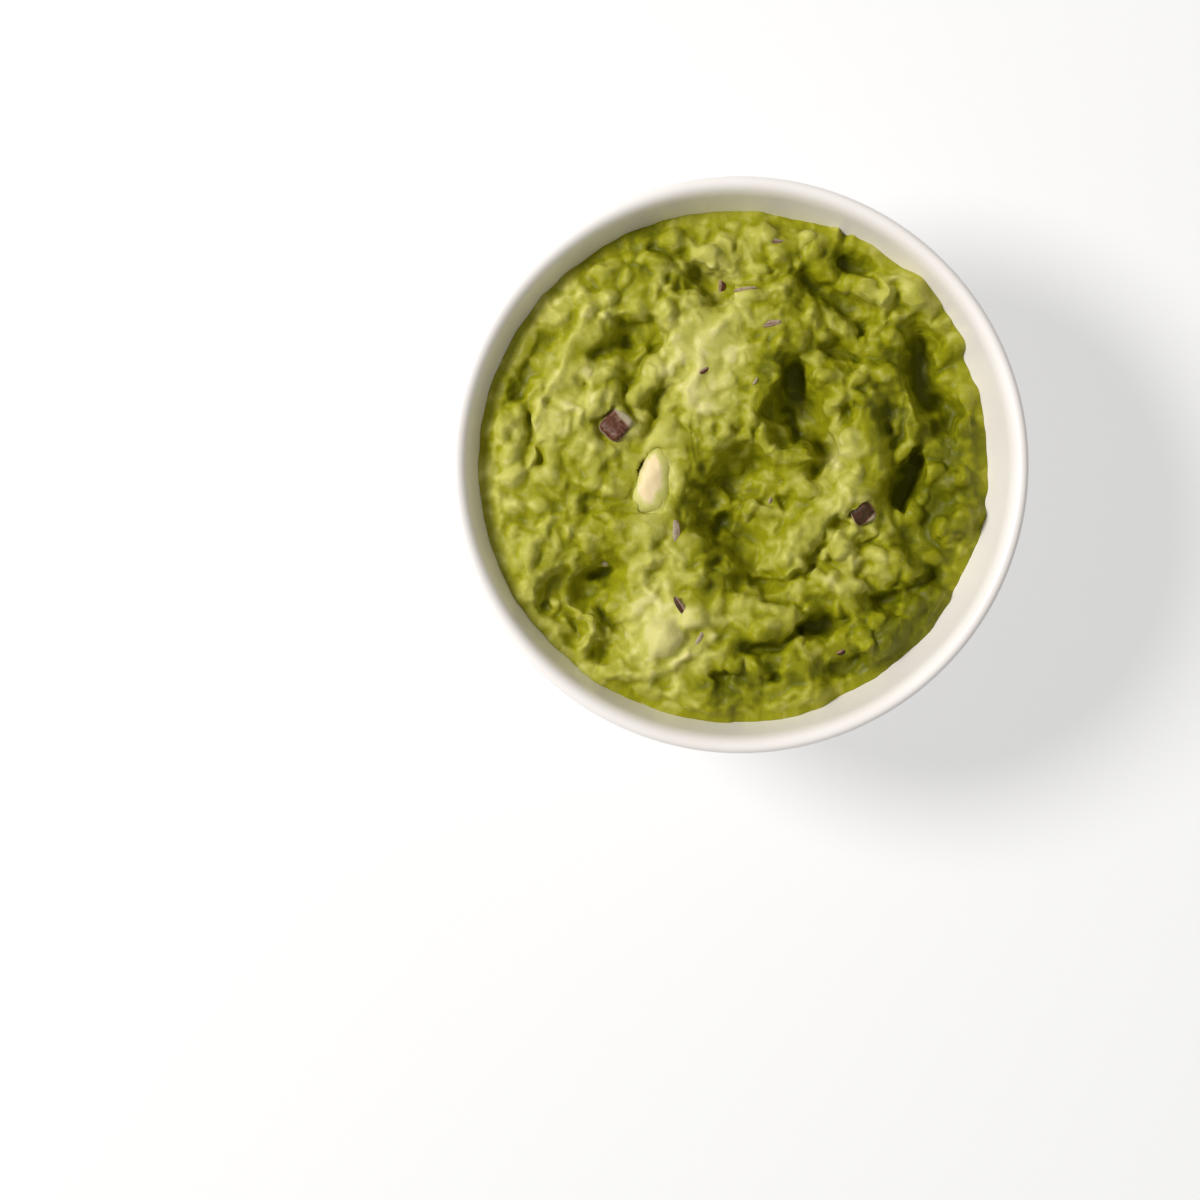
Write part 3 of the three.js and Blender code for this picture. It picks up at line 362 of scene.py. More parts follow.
def dome(points, x, y, half_length, half_width, turn):
    """Share from 1 at a lump's middle down to 0 at its edge."""
    along, across = along_across(points, x, y, turn)
    along, across = along / half_length, across / half_width
    return np.clip(1 - along * along - across * across, 0, 1)


def placed_relief(points):
    """Height of the lumps, crests and creases that have a place of their own."""
    height = np.zeros(len(points))
    for x, y, half_length, half_width, turn in LUMPS:
        size = math.sqrt(half_length * half_width)
        share = dome(points, x + LUMP_SHIFT[0] * size, y + LUMP_SHIFT[1] * size,
                     LUMP_GROWTH * half_length, LUMP_GROWTH * half_width, turn) ** 1.5
        height = soft_max(height, LUMP_RISE * size * share, LUMP_BLEND)
    for rise, half_width, line in STROKES:
        gap = line_distance(points - half_width * STROKE_SHIFT, line) / half_width
        height += (CREST_SHARE if rise > 0 else CREASE_SHARE) * rise * np.exp(-gap * gap)
    return height


def placed_tone_and_light(points):
    """How much paler or greener the mash is painted at each of the points (n, 2): mostly painted light
    and shade, partly its own tone.
    """
    tone = np.zeros(len(points))
    for x, y, radius, strength in TONE_AND_LIGHT_PATCHES:
        gap = np.hypot(points[:, 0] - x, points[:, 1] - y) / radius
        tone += strength * np.exp(-1.4 * gap * gap)
    return tone


def smeared_share(points):
    """Share from 1 where the paste was smeared smooth down to 0 where it wasn't."""
    share = np.zeros(len(points))
    for x, y, radius in SMEARED:
        gap = np.hypot(points[:, 0] - x, points[:, 1] - y) / radius
        share = np.maximum(share, 1 - smooth_step(0.6, 1.2, gap))
    return share


def scattered_relief(points):
    """Height of the crumbs that cover the whole heap, each one a tilted soft dome."""
    draw = random.Random(CRUMB_SEED)
    tree = KDTree(len(points))
    for i, (x, y) in enumerate(points):
        tree.insert((x, y, 0), i)
    tree.balance()
    height = np.zeros(len(points))
    reach = float(inside_radius(CRUMB_LEVEL))
    for _ in range(CRUMBS):
        radius, angle = reach * math.sqrt(draw.random()), draw.uniform(0, math.tau)
        x, y = radius * math.cos(angle), radius * math.sin(angle)
        size = draw.random() ** 1.6
        half_width = CRUMB_RADIUS[0] + (CRUMB_RADIUS[1] - CRUMB_RADIUS[0]) * size
        stretch = draw.uniform(1, 1.7)
        rise = (CRUMB_RISE[0] + (CRUMB_RISE[1] - CRUMB_RISE[0]) * size) * draw.uniform(0.6, 1.2)
        turn = math.degrees(angle) + 90 + draw.gauss(0, 40)
        lean_x, lean_y = draw.uniform(-0.5, 0.5), draw.uniform(-0.5, 0.5)
        found = np.array([i for _, i, _ in tree.find_range((x, y, 0), half_width * stretch)])
        if not len(found):
            continue
        near = points[found]
        share = dome(near, x, y, half_width * stretch, half_width, turn) ** 1.4
        lean = 1 + (near[:, 0] - x) / half_width * lean_x + (near[:, 1] - y) / half_width * lean_y
        height[found] = soft_max(height[found], rise * share * lean, CRUMB_BLEND)
    return height


# ---------------------------------------------------------------- helpers


def linear(hex_colour):
    """An sRGB hex colour as linear red, green, blue and an alpha of one."""
    channels = [int(hex_colour[i:i + 2], 16) / 255 for i in (1, 3, 5)]
    return [c / 12.92 if c <= 0.04045 else ((c + 0.055) / 1.055) ** 2.4 for c in channels] + [1.0]


def add_node(material, kind, links=None, values=None, **settings):
    """Adds a shader node, sets it, gives its sockets values and joins others' outputs to them."""
    made = material.node_tree.nodes.new("ShaderNode" + kind)
    for name, value in settings.items():
        setattr(made, name, value)
    for name, value in (values or {}).items():
        made.inputs[name].default_value = value
    for name, source in (links or {}).items():
        material.node_tree.links.new(source, made.inputs[name])
    return made


def new_material(name):
    """A material with no nodes yet."""
    material = bpy.data.materials.new(name)
    material.use_nodes = True
    material.node_tree.nodes.clear()
    return material


def set_ramp(ramp_node, stops):
    """Gives a colour ramp its stops: (place, hex colour)."""
    elements = ramp_node.color_ramp.elements
    while len(elements) < len(stops):
        elements.new(0.5)
    for element, (place, colour) in zip(elements, stops):
        element.position = place
        element.color = linear(colour)


def finish_surface(material, shader):
    """Gives a material its output, with a shader joined to it."""
    add_node(material, "OutputMaterial", links={"Surface": shader.outputs[0]})
    return material


def new_object(name, bm, material, smooth=True):
    """Makes a mesh object of a bmesh, with one material, and frees the bmesh."""
    mesh = bpy.data.meshes.new(name)
    for face in bm.faces:
        face.smooth = smooth
    bm.to_mesh(mesh)
    bm.free()
    mesh.materials.append(material)
    made = bpy.data.objects.new(name, mesh)
    bpy.context.scene.collection.objects.link(made)
    return made


def place_piece(piece, slot, *nodes):
    """Lets a piece ride on the part and stand for its CAD nodes. The slot is not used."""
    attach(piece, "root")
    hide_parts(*nodes)


def node_bmesh(node):
    """A merged copy of a CAD node's mesh."""
    bm = bmesh.new()
    bm.from_mesh(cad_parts[node].data)
    bmesh.ops.remove_doubles(bm, verts=bm.verts, dist=1e-6)
    return bm


def middle_of(bm):
    """The middle of a bmesh's box."""
    corners = np.array([v.co for v in bm.verts])
    return Vector((corners.min(0) + corners.max(0)) / 2)


# ---------------------------------------------------------------- materials


def glazed_stoneware(colours):
    """White stoneware, thrown and dipped in a clear gloss glaze.

    The glaze gives wide, soft reflections over a warm white, with slow waves in its surface
    and a faint change of tone where it ran thin.
    """
    material = new_material("glazed_stoneware")
    place = add_node(material, "TexCoord").outputs["Object"]
    tone = add_node(material, "TexNoise", links={"Vector": place},
                    values={"Scale": 1 / (22 * MM), "Detail": 3})
    ramp = add_node(material, "ValToRGB", links={"Fac": tone.outputs["Fac"]})
    set_ramp(ramp, ((0.3, colours.glaze_shade), (0.7, colours.glaze)))
    waves = add_node(material, "TexNoise", links={"Vector": place},
                     values={"Scale": 1 / (9 * MM), "Detail": 2})
    bump = add_node(material, "Bump", links={"Height": waves.outputs["Fac"]},
                    values={"Strength": 0.25, "Distance": 0.25 * MM})
    shader = add_node(
        material, "BsdfPrincipled",
        links={"Base Color": ramp.outputs["Color"], "Normal": bump.outputs["Normal"]},
        values={"Roughness": 0.28, "IOR": 1.5, "Coat Weight": 0.35, "Coat Roughness": 0.12})
    return finish_surface(material, shader)


def bare_clay(colours):
    """Unglazed stoneware, ground flat under the foot: matt, a little darker, finely gritty."""
    material = new_material("ground_stoneware")
    place = add_node(material, "TexCoord").outputs["Object"]
    grit = add_node(material, "TexNoise", links={"Vector": place},
                    values={"Scale": 1 / (0.6 * MM), "Detail": 4})
    ramp = add_node(material, "ValToRGB", links={"Fac": grit.outputs["Fac"]})
    set_ramp(ramp, ((0.35, colours.clay), (0.65, colours.clay_pale)))
    bump = add_node(material, "Bump", links={"Height": grit.outputs["Fac"]},
                    values={"Strength": 0.5, "Distance": 0.1 * MM})
    shader = add_node(
        material, "BsdfPrincipled",
        links={"Base Color": ramp.outputs["Color"], "Normal": bump.outputs["Normal"]},
        values={"Roughness": 0.85, "IOR": 1.5})
    return finish_surface(material, shader)


def mashed_avocado(colours):
    """Ripe avocado, mashed with a fork: a wet, fatty paste with soft lumps.

    Light sinks a millimetre into it, so lumps glow yellow-green and the hollows between them
    go deep and saturated. A thin wet film gives each lump a small, soft highlight. Its colour
    also holds painted shade in the hollows, painted light on the crests, placed patches of
    painted light and shade, and pale specks that are partly painted glints.
    """
    material = new_material("mashed_avocado")
    place = add_node(material, "TexCoord").outputs["Object"]
    hollow_shade = add_node(material, "Attribute", attribute_name="hollow_shade").outputs["Fac"]
    patches = add_node(material, "TexNoise", links={"Vector": place},
                       values={"Scale": 1 / (11 * MM), "Detail": 3, "Roughness": 0.55})
    lumps = add_node(material, "TexNoise", links={"Vector": place},
                     values={"Scale": 1 / (2.4 * MM), "Detail": 4, "Roughness": 0.6})
    fibres = add_node(material, "TexNoise", links={"Vector": place},
                      values={"Scale": 1 / (0.7 * MM), "Detail": 2, "Distortion": 0.8})
    # tone: 0 deep green to 1 pale, with painted shade in the hollows, painted light on the crests
    # and placed patches of painted light and shade
    blend = add_node(material, "Mix", data_type="FLOAT",
                     values={0: 0.45}, links={2: patches.outputs["Fac"], 3: lumps.outputs["Fac"]})
    fine = add_node(material, "Mix", data_type="FLOAT",
                    values={0: 0.22}, links={2: blend.outputs[0], 3: fibres.outputs["Fac"]})
    fine = add_node(material, "MapRange", links={"Value": fine.outputs[0]},
                    values={"To Min": 0.24, "To Max": 0.74})
    # painted shade in the hollows and painted light on the crests
    depth = add_node(material, "MapRange", links={"Value": hollow_shade},
                     values={"To Min": 0.14, "To Max": -0.24})
    # patches of tone, mostly painted light and shade
    patch_tone_and_light = add_node(material, "Attribute", attribute_name="tone").outputs["Fac"]
    shift = add_node(material, "Math", operation="ADD",
                     links={0: depth.outputs[0], 1: patch_tone_and_light})
    # pale specks, partly painted glints of the wet paste
    crumbs = add_node(material, "TexNoise", links={"Vector": place},
                      values={"Scale": 1 / (2.6 * MM), "Detail": 1, "Roughness": 0.4})
    specks_and_glints = add_node(material, "MapRange", links={"Value": crumbs.outputs["Fac"]},
                      values={"From Min": 0.54, "From Max": 0.72, "To Max": 0.2})
    fine = add_node(material, "Math", operation="ADD",
                    links={0: fine.outputs[0], 1: specks_and_glints.outputs[0]})
    tone = add_node(material, "Math", operation="ADD", use_clamp=True,
                    links={0: fine.outputs[0], 1: shift.outputs[0]})
    ramp = add_node(material, "ValToRGB", links={"Fac": tone.outputs[0]})
    set_ramp(ramp, ((0.18, colours.mash_deep_and_shade), (0.5, colours.mash), (0.85, colours.mash_pale),
                    (1.0, colours.mash_cream_and_glint)))
    grain = add_node(material, "TexNoise", links={"Vector": place},
                     values={"Scale": 1 / (0.9 * MM), "Detail": 3, "Roughness": 0.6})
    bump = add_node(material, "Bump", links={"Height": grain.outputs["Fac"]},
                    values={"Strength": 0.5, "Distance": 0.25 * MM})
    gloss = add_node(material, "MapRange", links={"Value": lumps.outputs["Fac"]},
                     values={"From Min": 0.35, "From Max": 0.65, "To Min": 0.42, "To Max": 0.62})
    shader = add_node(
        material, "BsdfPrincipled",
        links={"Base Color": ramp.outputs["Color"], "Normal": bump.outputs["Normal"],
               "Roughness": gloss.outputs[0]},
        values={"IOR": 1.38, "Specular IOR Level": 0.25, "Subsurface Weight": 0.5,
                "Subsurface Scale": 1.0 * MM, "Subsurface Radius": (1.0, 0.9, 0.2),
                "Coat Weight": 0.08, "Coat Roughness": 0.3, "Coat IOR": 1.36})
    return finish_surface(material, shader)


def avocado_flesh(colours):
    """A cut piece of firm avocado: smooth, moist, cream at its heart and green by the skin."""
    material = new_material("avocado_flesh")
    place = add_node(material, "TexCoord").outputs["Object"]
    green = add_node(material, "Attribute", attribute_name="green").outputs["Fac"]
    mottle = add_node(material, "TexNoise", links={"Vector": place},
                      values={"Scale": 1 / (1.6 * MM), "Detail": 4, "Roughness": 0.6})
    stray = add_node(material, "MapRange", links={"Value": mottle.outputs["Fac"]},
                     values={"From Min": 0.3, "From Max": 0.7, "To Min": -0.14, "To Max": 0.14})
    share = add_node(material, "Math", operation="ADD", use_clamp=True,
                     links={0: green, 1: stray.outputs[0]})
    ramp = add_node(material, "ValToRGB", links={"Fac": share.outputs[0]})
    set_ramp(ramp, ((0.1, colours.flesh_heart), (0.5, colours.flesh), (1.0, colours.mash_pale)))
    bump = add_node(material, "Bump", links={"Height": mottle.outputs["Fac"]},
                    values={"Strength": 0.35, "Distance": 0.2 * MM})
    shader = add_node(
        material, "BsdfPrincipled",
        links={"Base Color": ramp.outputs["Color"], "Normal": bump.outputs["Normal"]},
        values={"Roughness": 0.5, "IOR": 1.4, "Subsurface Weight": 0.4,
                "Subsurface Scale": 1.4 * MM, "Subsurface Radius": (1.0, 0.8, 0.4),
                "Specular IOR Level": 0.3})
    return finish_surface(material, shader)


def red_onion(colours):
    """Diced raw red onion: a purple-brown skin over glassy pale flesh; its darkest skin colour also
    paints shade.
    """
    material = new_material("red_onion")
    place = add_node(material, "TexCoord").outputs["Object"]
    skin = add_node(material, "Attribute", attribute_name="skin").outputs["Fac"]
    veins = add_node(material, "TexNoise", links={"Vector": place},
                     values={"Scale": 1 / (0.9 * MM), "Detail": 3, "Distortion": 0.6})
    stray = add_node(material, "MapRange", links={"Value": veins.outputs["Fac"]},
                     values={"From Min": 0.3, "From Max": 0.7, "To Min": -0.15, "To Max": 0.15})
    share = add_node(material, "Math", operation="ADD", use_clamp=True,
                     links={0: skin, 1: stray.outputs[0]})
    ramp = add_node(material, "ValToRGB", links={"Fac": share.outputs[0]})
    set_ramp(ramp, ((0.1, colours.onion_flesh), (0.4, colours.onion_edge), (0.7, colours.onion),
                    (1.0, colours.onion_dark_and_shade)))
    bump = add_node(material, "Bump", links={"Height": veins.outputs["Fac"]},
                    values={"Strength": 0.3, "Distance": 0.12 * MM})
    shader = add_node(
        material, "BsdfPrincipled",
        links={"Base Color": ramp.outputs["Color"], "Normal": bump.outputs["Normal"]},
        values={"Roughness": 0.5, "IOR": 1.38, "Specular IOR Level": 0.35,
                "Subsurface Weight": 0.2, "Subsurface Scale": 0.6 * MM,
                "Subsurface Radius": (1.0, 0.5, 0.4)})
    return finish_surface(material, shader)


def studio_floor(colours):
    """A plain pale sweep of matt board. A little light of its own keeps its shadows pale."""
    material = new_material("studio_board")
    shader = add_node(
        material, "BsdfPrincipled",
        values={"Base Color": linear(colours.floor), "Roughness": 0.9,
                "Specular IOR Level": 0.2, "Emission Color": (1, 1, 1, 1),
                "Emission Strength": 0.5})
    return finish_surface(material, shader)


# ---------------------------------------------------------------- settings


class GuacamoleColours(bpy.types.PropertyGroup):
    """Colours of the food, the bowl and the stage, as sRGB hex values."""

    glaze: StringProperty(name="Glaze", description="Bowl glaze where it is thick", default="#f6f1ee")
    glaze_shade: StringProperty(
        name="Glaze, thin", description="Bowl glaze where it ran thin", default="#f1ebe7")
    clay: StringProperty(name="Clay", description="Bare clay under the foot", default="#b9aa98")
    clay_pale: StringProperty(
        name="Clay, pale", description="Paler grit in the bare clay", default="#d8ccbc")
    # pale green, reached on crests and lit patches through painted light
    mash_pale: StringProperty(
        name="Mash, pale", description="Crests of the mashed avocado", default="#c0bd60")
    # palest cream, reached by the specks and lit patches: partly painted glints and highlights
    mash_cream_and_glint: StringProperty(
        name="Mash, cream", description="Specks of the palest flesh", default="#d0ca82")
    mash: StringProperty(name="Mash", description="Main colour of the mashed avocado", default="#969510")
    # darkest green, reached in hollows and shaded patches through painted shade
    mash_deep_and_shade: StringProperty(
        name="Mash, deep", description="Hollows of the mashed avocado", default="#656704")
    flesh_heart: StringProperty(
        name="Chunk, heart", description="Palest part of the avocado chunk", default="#ecd8ac")
    flesh: StringProperty(
        name="Chunk", description="Flesh of the chunk towards the skin", default="#cfcb7c")
    onion: StringProperty(name="Onion skin", description="Skin side of the red onion", default="#5e3626")
    # darkest onion skin; on the small dice it is painted shade
    onion_dark_and_shade: StringProperty(
        name="Onion skin, dark", description="Skin that the mash stained", default="#33240e")
    onion_edge: StringProperty(
        name="Onion edge", description="Where skin turns to flesh", default="#967f6a")
    onion_flesh: StringProperty(
        name="Onion flesh", description="Inner flesh of the onion", default="#ada286")
    floor: StringProperty(name="Floor", description="The plain board under the bowl", default="#b6b6b6")


class GuacamoleSizes(bpy.types.PropertyGroup):
    """Sizes that change how fine and how lumpy the pieces are."""

    skin: FloatProperty(
        name="Skin spacing", description="Distance between the heap's surface points",
        default=SKIN * MM, unit="LENGTH")
    lump_rise: FloatProperty(
        name="Lump rise", description="Height of crumbs and swells against their usual height",
        default=1.0, subtype="FACTOR")
    bowl_sides: IntProperty(
        name="Bowl sides", description="Steps round the turned bowl", default=160)


# ---------------------------------------------------------------- bowl


def bowl_outline():
    """The bowl's half section from the axis under the foot, over the lip, to the axis inside."""
    ring = FOOT_RADIUS - FOOT_RING
    outline = [Vector((0, FOOT_HOLLOW)), Vector((ring - 0.6, FOOT_HOLLOW)), Vector((ring, 0))]
    corner_steps = 4
    for i in range(corner_steps + 1):
        angle = -math.pi / 2 + math.pi / 2 * i / corner_steps
        corner = Vector((FOOT_RADIUS - FOOT_ROUND, FOOT_ROUND))
        outline.append(corner + FOOT_ROUND * Vector((math.cos(angle), math.sin(angle))))
    outline.append(Vector((FOOT_RADIUS, FOOT_HEIGHT - FOOT_FILLET)))
    outline.append(Vector((FOOT_RADIUS + 0.3 * FOOT_FILLET, FOOT_HEIGHT - 0.24 * FOOT_FILLET)))
    wall_steps = 30
    outline += [wall_point(i / wall_steps, HALF_WALL) for i in range(wall_steps)]
    crest = Vector((RIM_RADIUS - LIP_ROUND, BOWL_HEIGHT))
    round_steps = 9
    for i in range(round_steps):
        angle = math.pi / 2 * i / round_steps
        outline.append(crest + LIP_ROUND * Vector((math.cos(angle), math.sin(angle) - 1)))
    slope_level = BOWL_HEIGHT - LIP_SLOPE
    slope_end = Vector((float(inside_radius(slope_level)), slope_level))
    lean = math.asin((slope_level - ARC_CENTRE.y) / (ARC_RADIUS - HALF_WALL))
    bend = Vector((slope_end.x - LIP_SLOPE * math.tan(lean), BOWL_HEIGHT))
    slope_steps = 12
    for i in range(slope_steps):
        t = i / slope_steps
        outline.append(crest * (1 - t) ** 2 + bend * (2 * t * (1 - t)) + slope_end * t * t)
    wall_foot = 0.06
    wall_head = 1 + (lean - ARC_END) / BELLY_ARC
    for i in range(wall_steps, -1, -1):
        share = wall_foot + (wall_head - wall_foot) * i / wall_steps
        outline.append(wall_point(share, -HALF_WALL))
    edge = outline[-1]
    outline.append(Vector((edge.x * 0.8, FLOOR + 0.35 * (edge.y - FLOOR))))
    outline.append(Vector((edge.x * FLOOR_FLAT, FLOOR)))
    outline.append(Vector((0, FLOOR)))
    return outline


def make_bowl(sizes, colours):
    """Turns the bowl's outline about its axis."""
    bm = bmesh.new()
    verts = [bm.verts.new((p.x * MM, 0, p.y * MM)) for p in bowl_outline()]
    edges = [bm.edges.new(pair) for pair in zip(verts, verts[1:])]
    bmesh.ops.spin(bm, geom=verts + edges, axis=(0, 0, 1), cent=(0, 0, 0), steps=sizes.bowl_sides,
                   angle=math.tau, use_merge=True)
    bmesh.ops.remove_doubles(bm, verts=bm.verts, dist=1e-6)
    bmesh.ops.recalc_face_normals(bm, faces=bm.faces)
    bowl = new_object("glazed_bowl", bm, glazed_stoneware(colours))
    bowl.data.materials.append(bare_clay(colours))
    for face in bowl.data.polygons:
        if face.center.z < 0.6 * FOOT_HOLLOW * MM and face.normal.z < -0.5:
            face.material_index = 1
    place_piece(bowl, "bowl_glaze", "bowl")


# ---------------------------------------------------------------- guacamole

CHUNK_TURN = 78  # the avocado chunk's turn in degrees
HEART = (5.4, 2.6)  # half-length and half-width of its cream heart
HEART_SHIFT = 0.5  # and how far that lies off its middle
BARE = (5.7, 3.0)  # half-length and half-width of what the mash leaves bare
BARE_SINK = 0.7  # how far the mash lies under the bare part
COAT = 0.15  # thickness of the mash on the chunk's sides
BANK_START = 1.6  # out to here, against the bare part's size, the mash banks up to the chunk
BANK_END = 2.1  # and the bank eases off up to here
BANK_TURNS = 44  # how often the bank's points take their neighbours' mean
BANK_EASE = 6  # the last of these may lower it too

# The pieces pressed into the heap: half-length, half-width, turn in degrees.
PRESSED = {
    "avocado_chunk": (4.6, 2.0, CHUNK_TURN),
    "red_onion_dice_large": (2.7, 2.4, 48),
    "red_onion_dice_small": (2.0, 1.7, 28),
}


def heap_bmesh(skin):
    """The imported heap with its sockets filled, its top rebuilt as an even skin of quads."""
    bm = node_bmesh("guacamole")
    for node in PRESSED:
        filling = node_bmesh(node)
        centre = middle_of(filling)
        grow = Matrix.Diagonal((SOCKET_FILL, SOCKET_FILL, 1, 1))
        sink = Matrix.Translation(centre - Vector((0, 0, SOCKET_SINK * MM)))
        bmesh.ops.transform(filling, matrix=sink @ grow @ Matrix.Translation(-centre),
                            verts=filling.verts)
        mesh = bpy.data.meshes.new("filling")
        filling.to_mesh(mesh)
        filling.free()
        bm.from_mesh(mesh)
        bpy.data.meshes.remove(mesh)
    rough = new_object("rough_heap", bm, None)
    remesh = rough.modifiers.new("skin", "REMESH")
    remesh.mode = "VOXEL"
    remesh.voxel_size = skin
    bm = bmesh.new()
    bm.from_object(rough, bpy.context.evaluated_depsgraph_get())
    bpy.data.objects.remove(rough)
    cut = SKIRT_LEVEL * MM
    everything = list(bm.verts) + list(bm.edges) + list(bm.faces)
    bmesh.ops.bisect_plane(bm, geom=everything, plane_co=(0, 0, cut), plane_no=(0, 0, 1),
                           clear_inner=True)
    add_skirt(bm)
    put_in_order(bm)
    return bm


def add_skirt(bm):
    """Closes the heap downwards: rings along the bowl's wall, then a flat floor."""
    ring = [edge for edge in bm.edges if edge.is_boundary]
    floor_level = FLOOR + 2 * FIT_GAP
    level = SKIRT_LEVEL
    for step in range(1, SKIRT_STEPS + 1):
        lower = SKIRT_LEVEL + (floor_level - SKIRT_LEVEL) * step / SKIRT_STEPS
        shrink = (inside_radius(lower) - FIT_GAP) / (inside_radius(level) - FIT_GAP)
        made = bmesh.ops.extrude_edge_only(bm, edges=ring)["geom"]
        verts = [item for item in made if isinstance(item, bmesh.types.BMVert)]
        ring = [item for item in made if isinstance(item, bmesh.types.BMEdge)
                and item.is_boundary]
        bmesh.ops.scale(bm, verts=verts, vec=(shrink, shrink, 1))
        bmesh.ops.translate(bm, verts=verts, vec=(0, 0, (lower - level) * MM))
        level = lower
    bmesh.ops.contextual_create(bm, geom=ring)
    bmesh.ops.recalc_face_normals(bm, faces=bm.faces)


def put_in_order(bm):
    """Sorts edges and faces by their points, so that every run thins the heap alike."""
    bm.verts.index_update()
    for parts in (bm.edges, bm.faces):
        ends = {part: [v.index for v in part.verts] for part in parts}
        parts.sort(key=lambda part: min(ends[part]) * len(bm.verts) + sum(ends[part]))
        parts.index_update()


def mesh_links(bm):
    """The points at the two ends of every edge, and how many edges meet at each point."""
    ends = np.array([[v.index for v in edge.verts] for edge in bm.edges]).T
    return ends, np.bincount(ends.ravel(), minlength=len(bm.verts)).astype(float)


def neighbour_mean(values, links, rounds):
    """Values spread over the mesh: each point takes the mean of its neighbours, some rounds."""
    columns = values.reshape(len(values), -1).T
    (one, other), counts = links
    for _ in range(rounds):
        columns = np.array([
            (np.bincount(one, column[other], len(counts))
             + np.bincount(other, column[one], len(counts))) / counts
            for column in columns])
    return columns.T.reshape(values.shape)


def soften(values, share, links):
    """Values moved a share of the way to their neighbours' mean."""
    return (1 - share) * values + share * neighbour_mean(values, links, 1)


def move_points(bm, place):
    """Puts a bmesh's points at places (n, 3) in millimetres and returns their normals."""
    for vert, co in zip(bm.verts, place):
        vert.co = co * MM
    bm.normal_update()
    return np.array([v.normal for v in bm.verts])


def middle_of_node(node):
    """Where the middle of a CAD node's box lies, x and y in millimetres."""
    low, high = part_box(node)
    return (low.x + high.x) / 2 / MM, (low.y + high.y) / 2 / MM


def round_forms(place, free, links):
    """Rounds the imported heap's facets away and lets the outlines of its forms stray."""
    smoothed = place.copy()
    for _ in range(ROUNDING_TURNS):
        smoothed = soften(smoothed, 0.6, links)
    place[free] = smoothed[free]
    inside = 1 - smooth_step(WARP_REACH - 2, WARP_REACH, np.hypot(place[:, 0], place[:, 1]))
    warped = np.flatnonzero(free & (inside > 0))
    for order, (length, reach) in enumerate(WARP):
        shift = sway(smoothed[warped, :2], length, reach, 21 + 2 * order)
        place[warped, :2] += shift * inside[warped, None]


def heap_relief(place, depth, lump_rise):
    """Height of all relief at places (n, 3), from how deep each lies in the forms round it."""
    points = place[:, :2]
    stray = sum(sway(points, length, reach, 1 + 2 * order)
                for order, (length, reach) in enumerate(STRAY))
    calm = 1 - HOLLOW_CALM * smooth_step(*HOLLOW_DEPTHS, depth)
    uneven = 0.8 + 0.5 * noise_field(points, UNEVEN_LENGTH, 5)
    rough = lump_rise * uneven * (1 - SMEAR_CALM * smeared_share(points)) * calm
    height = placed_relief(points + PLACED_STRAY * stray) * calm
    height += scattered_relief(points + stray) * rough
    for order, (length, rise) in enumerate(PULP):
        height += rise * noise_field(points + stray, length, 7 + order) * rough
    wall = wall_radius(place[:, 2])
    by_wall = smooth_step(wall - 4, wall - 0.8, np.hypot(points[:, 0], points[:, 1]))
    height *= 1 - WALL_CALM * by_wall
    height -= RELIEF_SINK
    for node, (half_length, half_width, turn) in PRESSED.items():
        x, y = middle_of_node(node)
        under = smooth_step(0.1, 0.45, dome(points, x, y, half_length, half_width, turn))
        height = height * (1 - under) - PRESSED_SINK * under
    return height


def coat_chunk(place, links):
    """Lets mash climb the avocado chunk's sides and keeps it off the chunk's bare top."""
    packed = node_bmesh("avocado_chunk")
    tree = BVHTree.FromBMesh(packed)
    packed.free()
    along, across = along_across(place, *middle_of_node("avocado_chunk"), CHUNK_TURN)
    reach = np.hypot(along / BARE[0], across / BARE[1])
    near = np.flatnonzero((reach < BANK_END + 0.3) & (place[:, 2] > SKIRT_LEVEL + 7))
    reach = reach[near] + 0.2 * noise_field(place[near, :2], 1.8, 31)
    top = []
    for x, y in place[near, :2]:
        found = tree.ray_cast(Vector((x, y, ABOVE_ALL)) * MM, Vector((0, 0, -1)))[0]
        top.append(math.nan if found is None else found.z / MM)
    top = np.array(top)
    coated = reach > 1
    place[near[coated], 2] = np.fmax(
        place[near[coated], 2], top[coated] + np.minimum(COAT, reach[coated] - 1))
    blend = np.zeros(len(place))
    blend[near] = smooth_step(1.0, 1.2, reach) * smooth_step(-BANK_END, -BANK_START, -reach)
    for turn in range(BANK_TURNS):
        rise = blend * (neighbour_mean(place[:, 2], links, 1) - place[:, 2])
        place[:, 2] += np.maximum(rise, 0) if turn < BANK_TURNS - BANK_EASE else rise
    bare = reach < 1
    place[near[bare], 2] = np.fmin(place[near[bare], 2], top[bare] - BARE_SINK)


def reach_into_wall(place):
    """Moves the heap's outside out into the bowl's wall."""
    radius = np.hypot(place[:, 0], place[:, 1])
    wall = wall_radius(place[:, 2])
    near = smooth_step(wall - FIT_GAP - WALL_BAND, wall - FIT_GAP - 0.1, radius)
    grown = np.minimum(radius + near * (FIT_GAP + WALL_BITE), wall + WALL_BITE)
    side = place[:, 2] > FLOOR + 3
    place[side, :2] *= (grown / np.maximum(radius, 1e-6))[side, None]


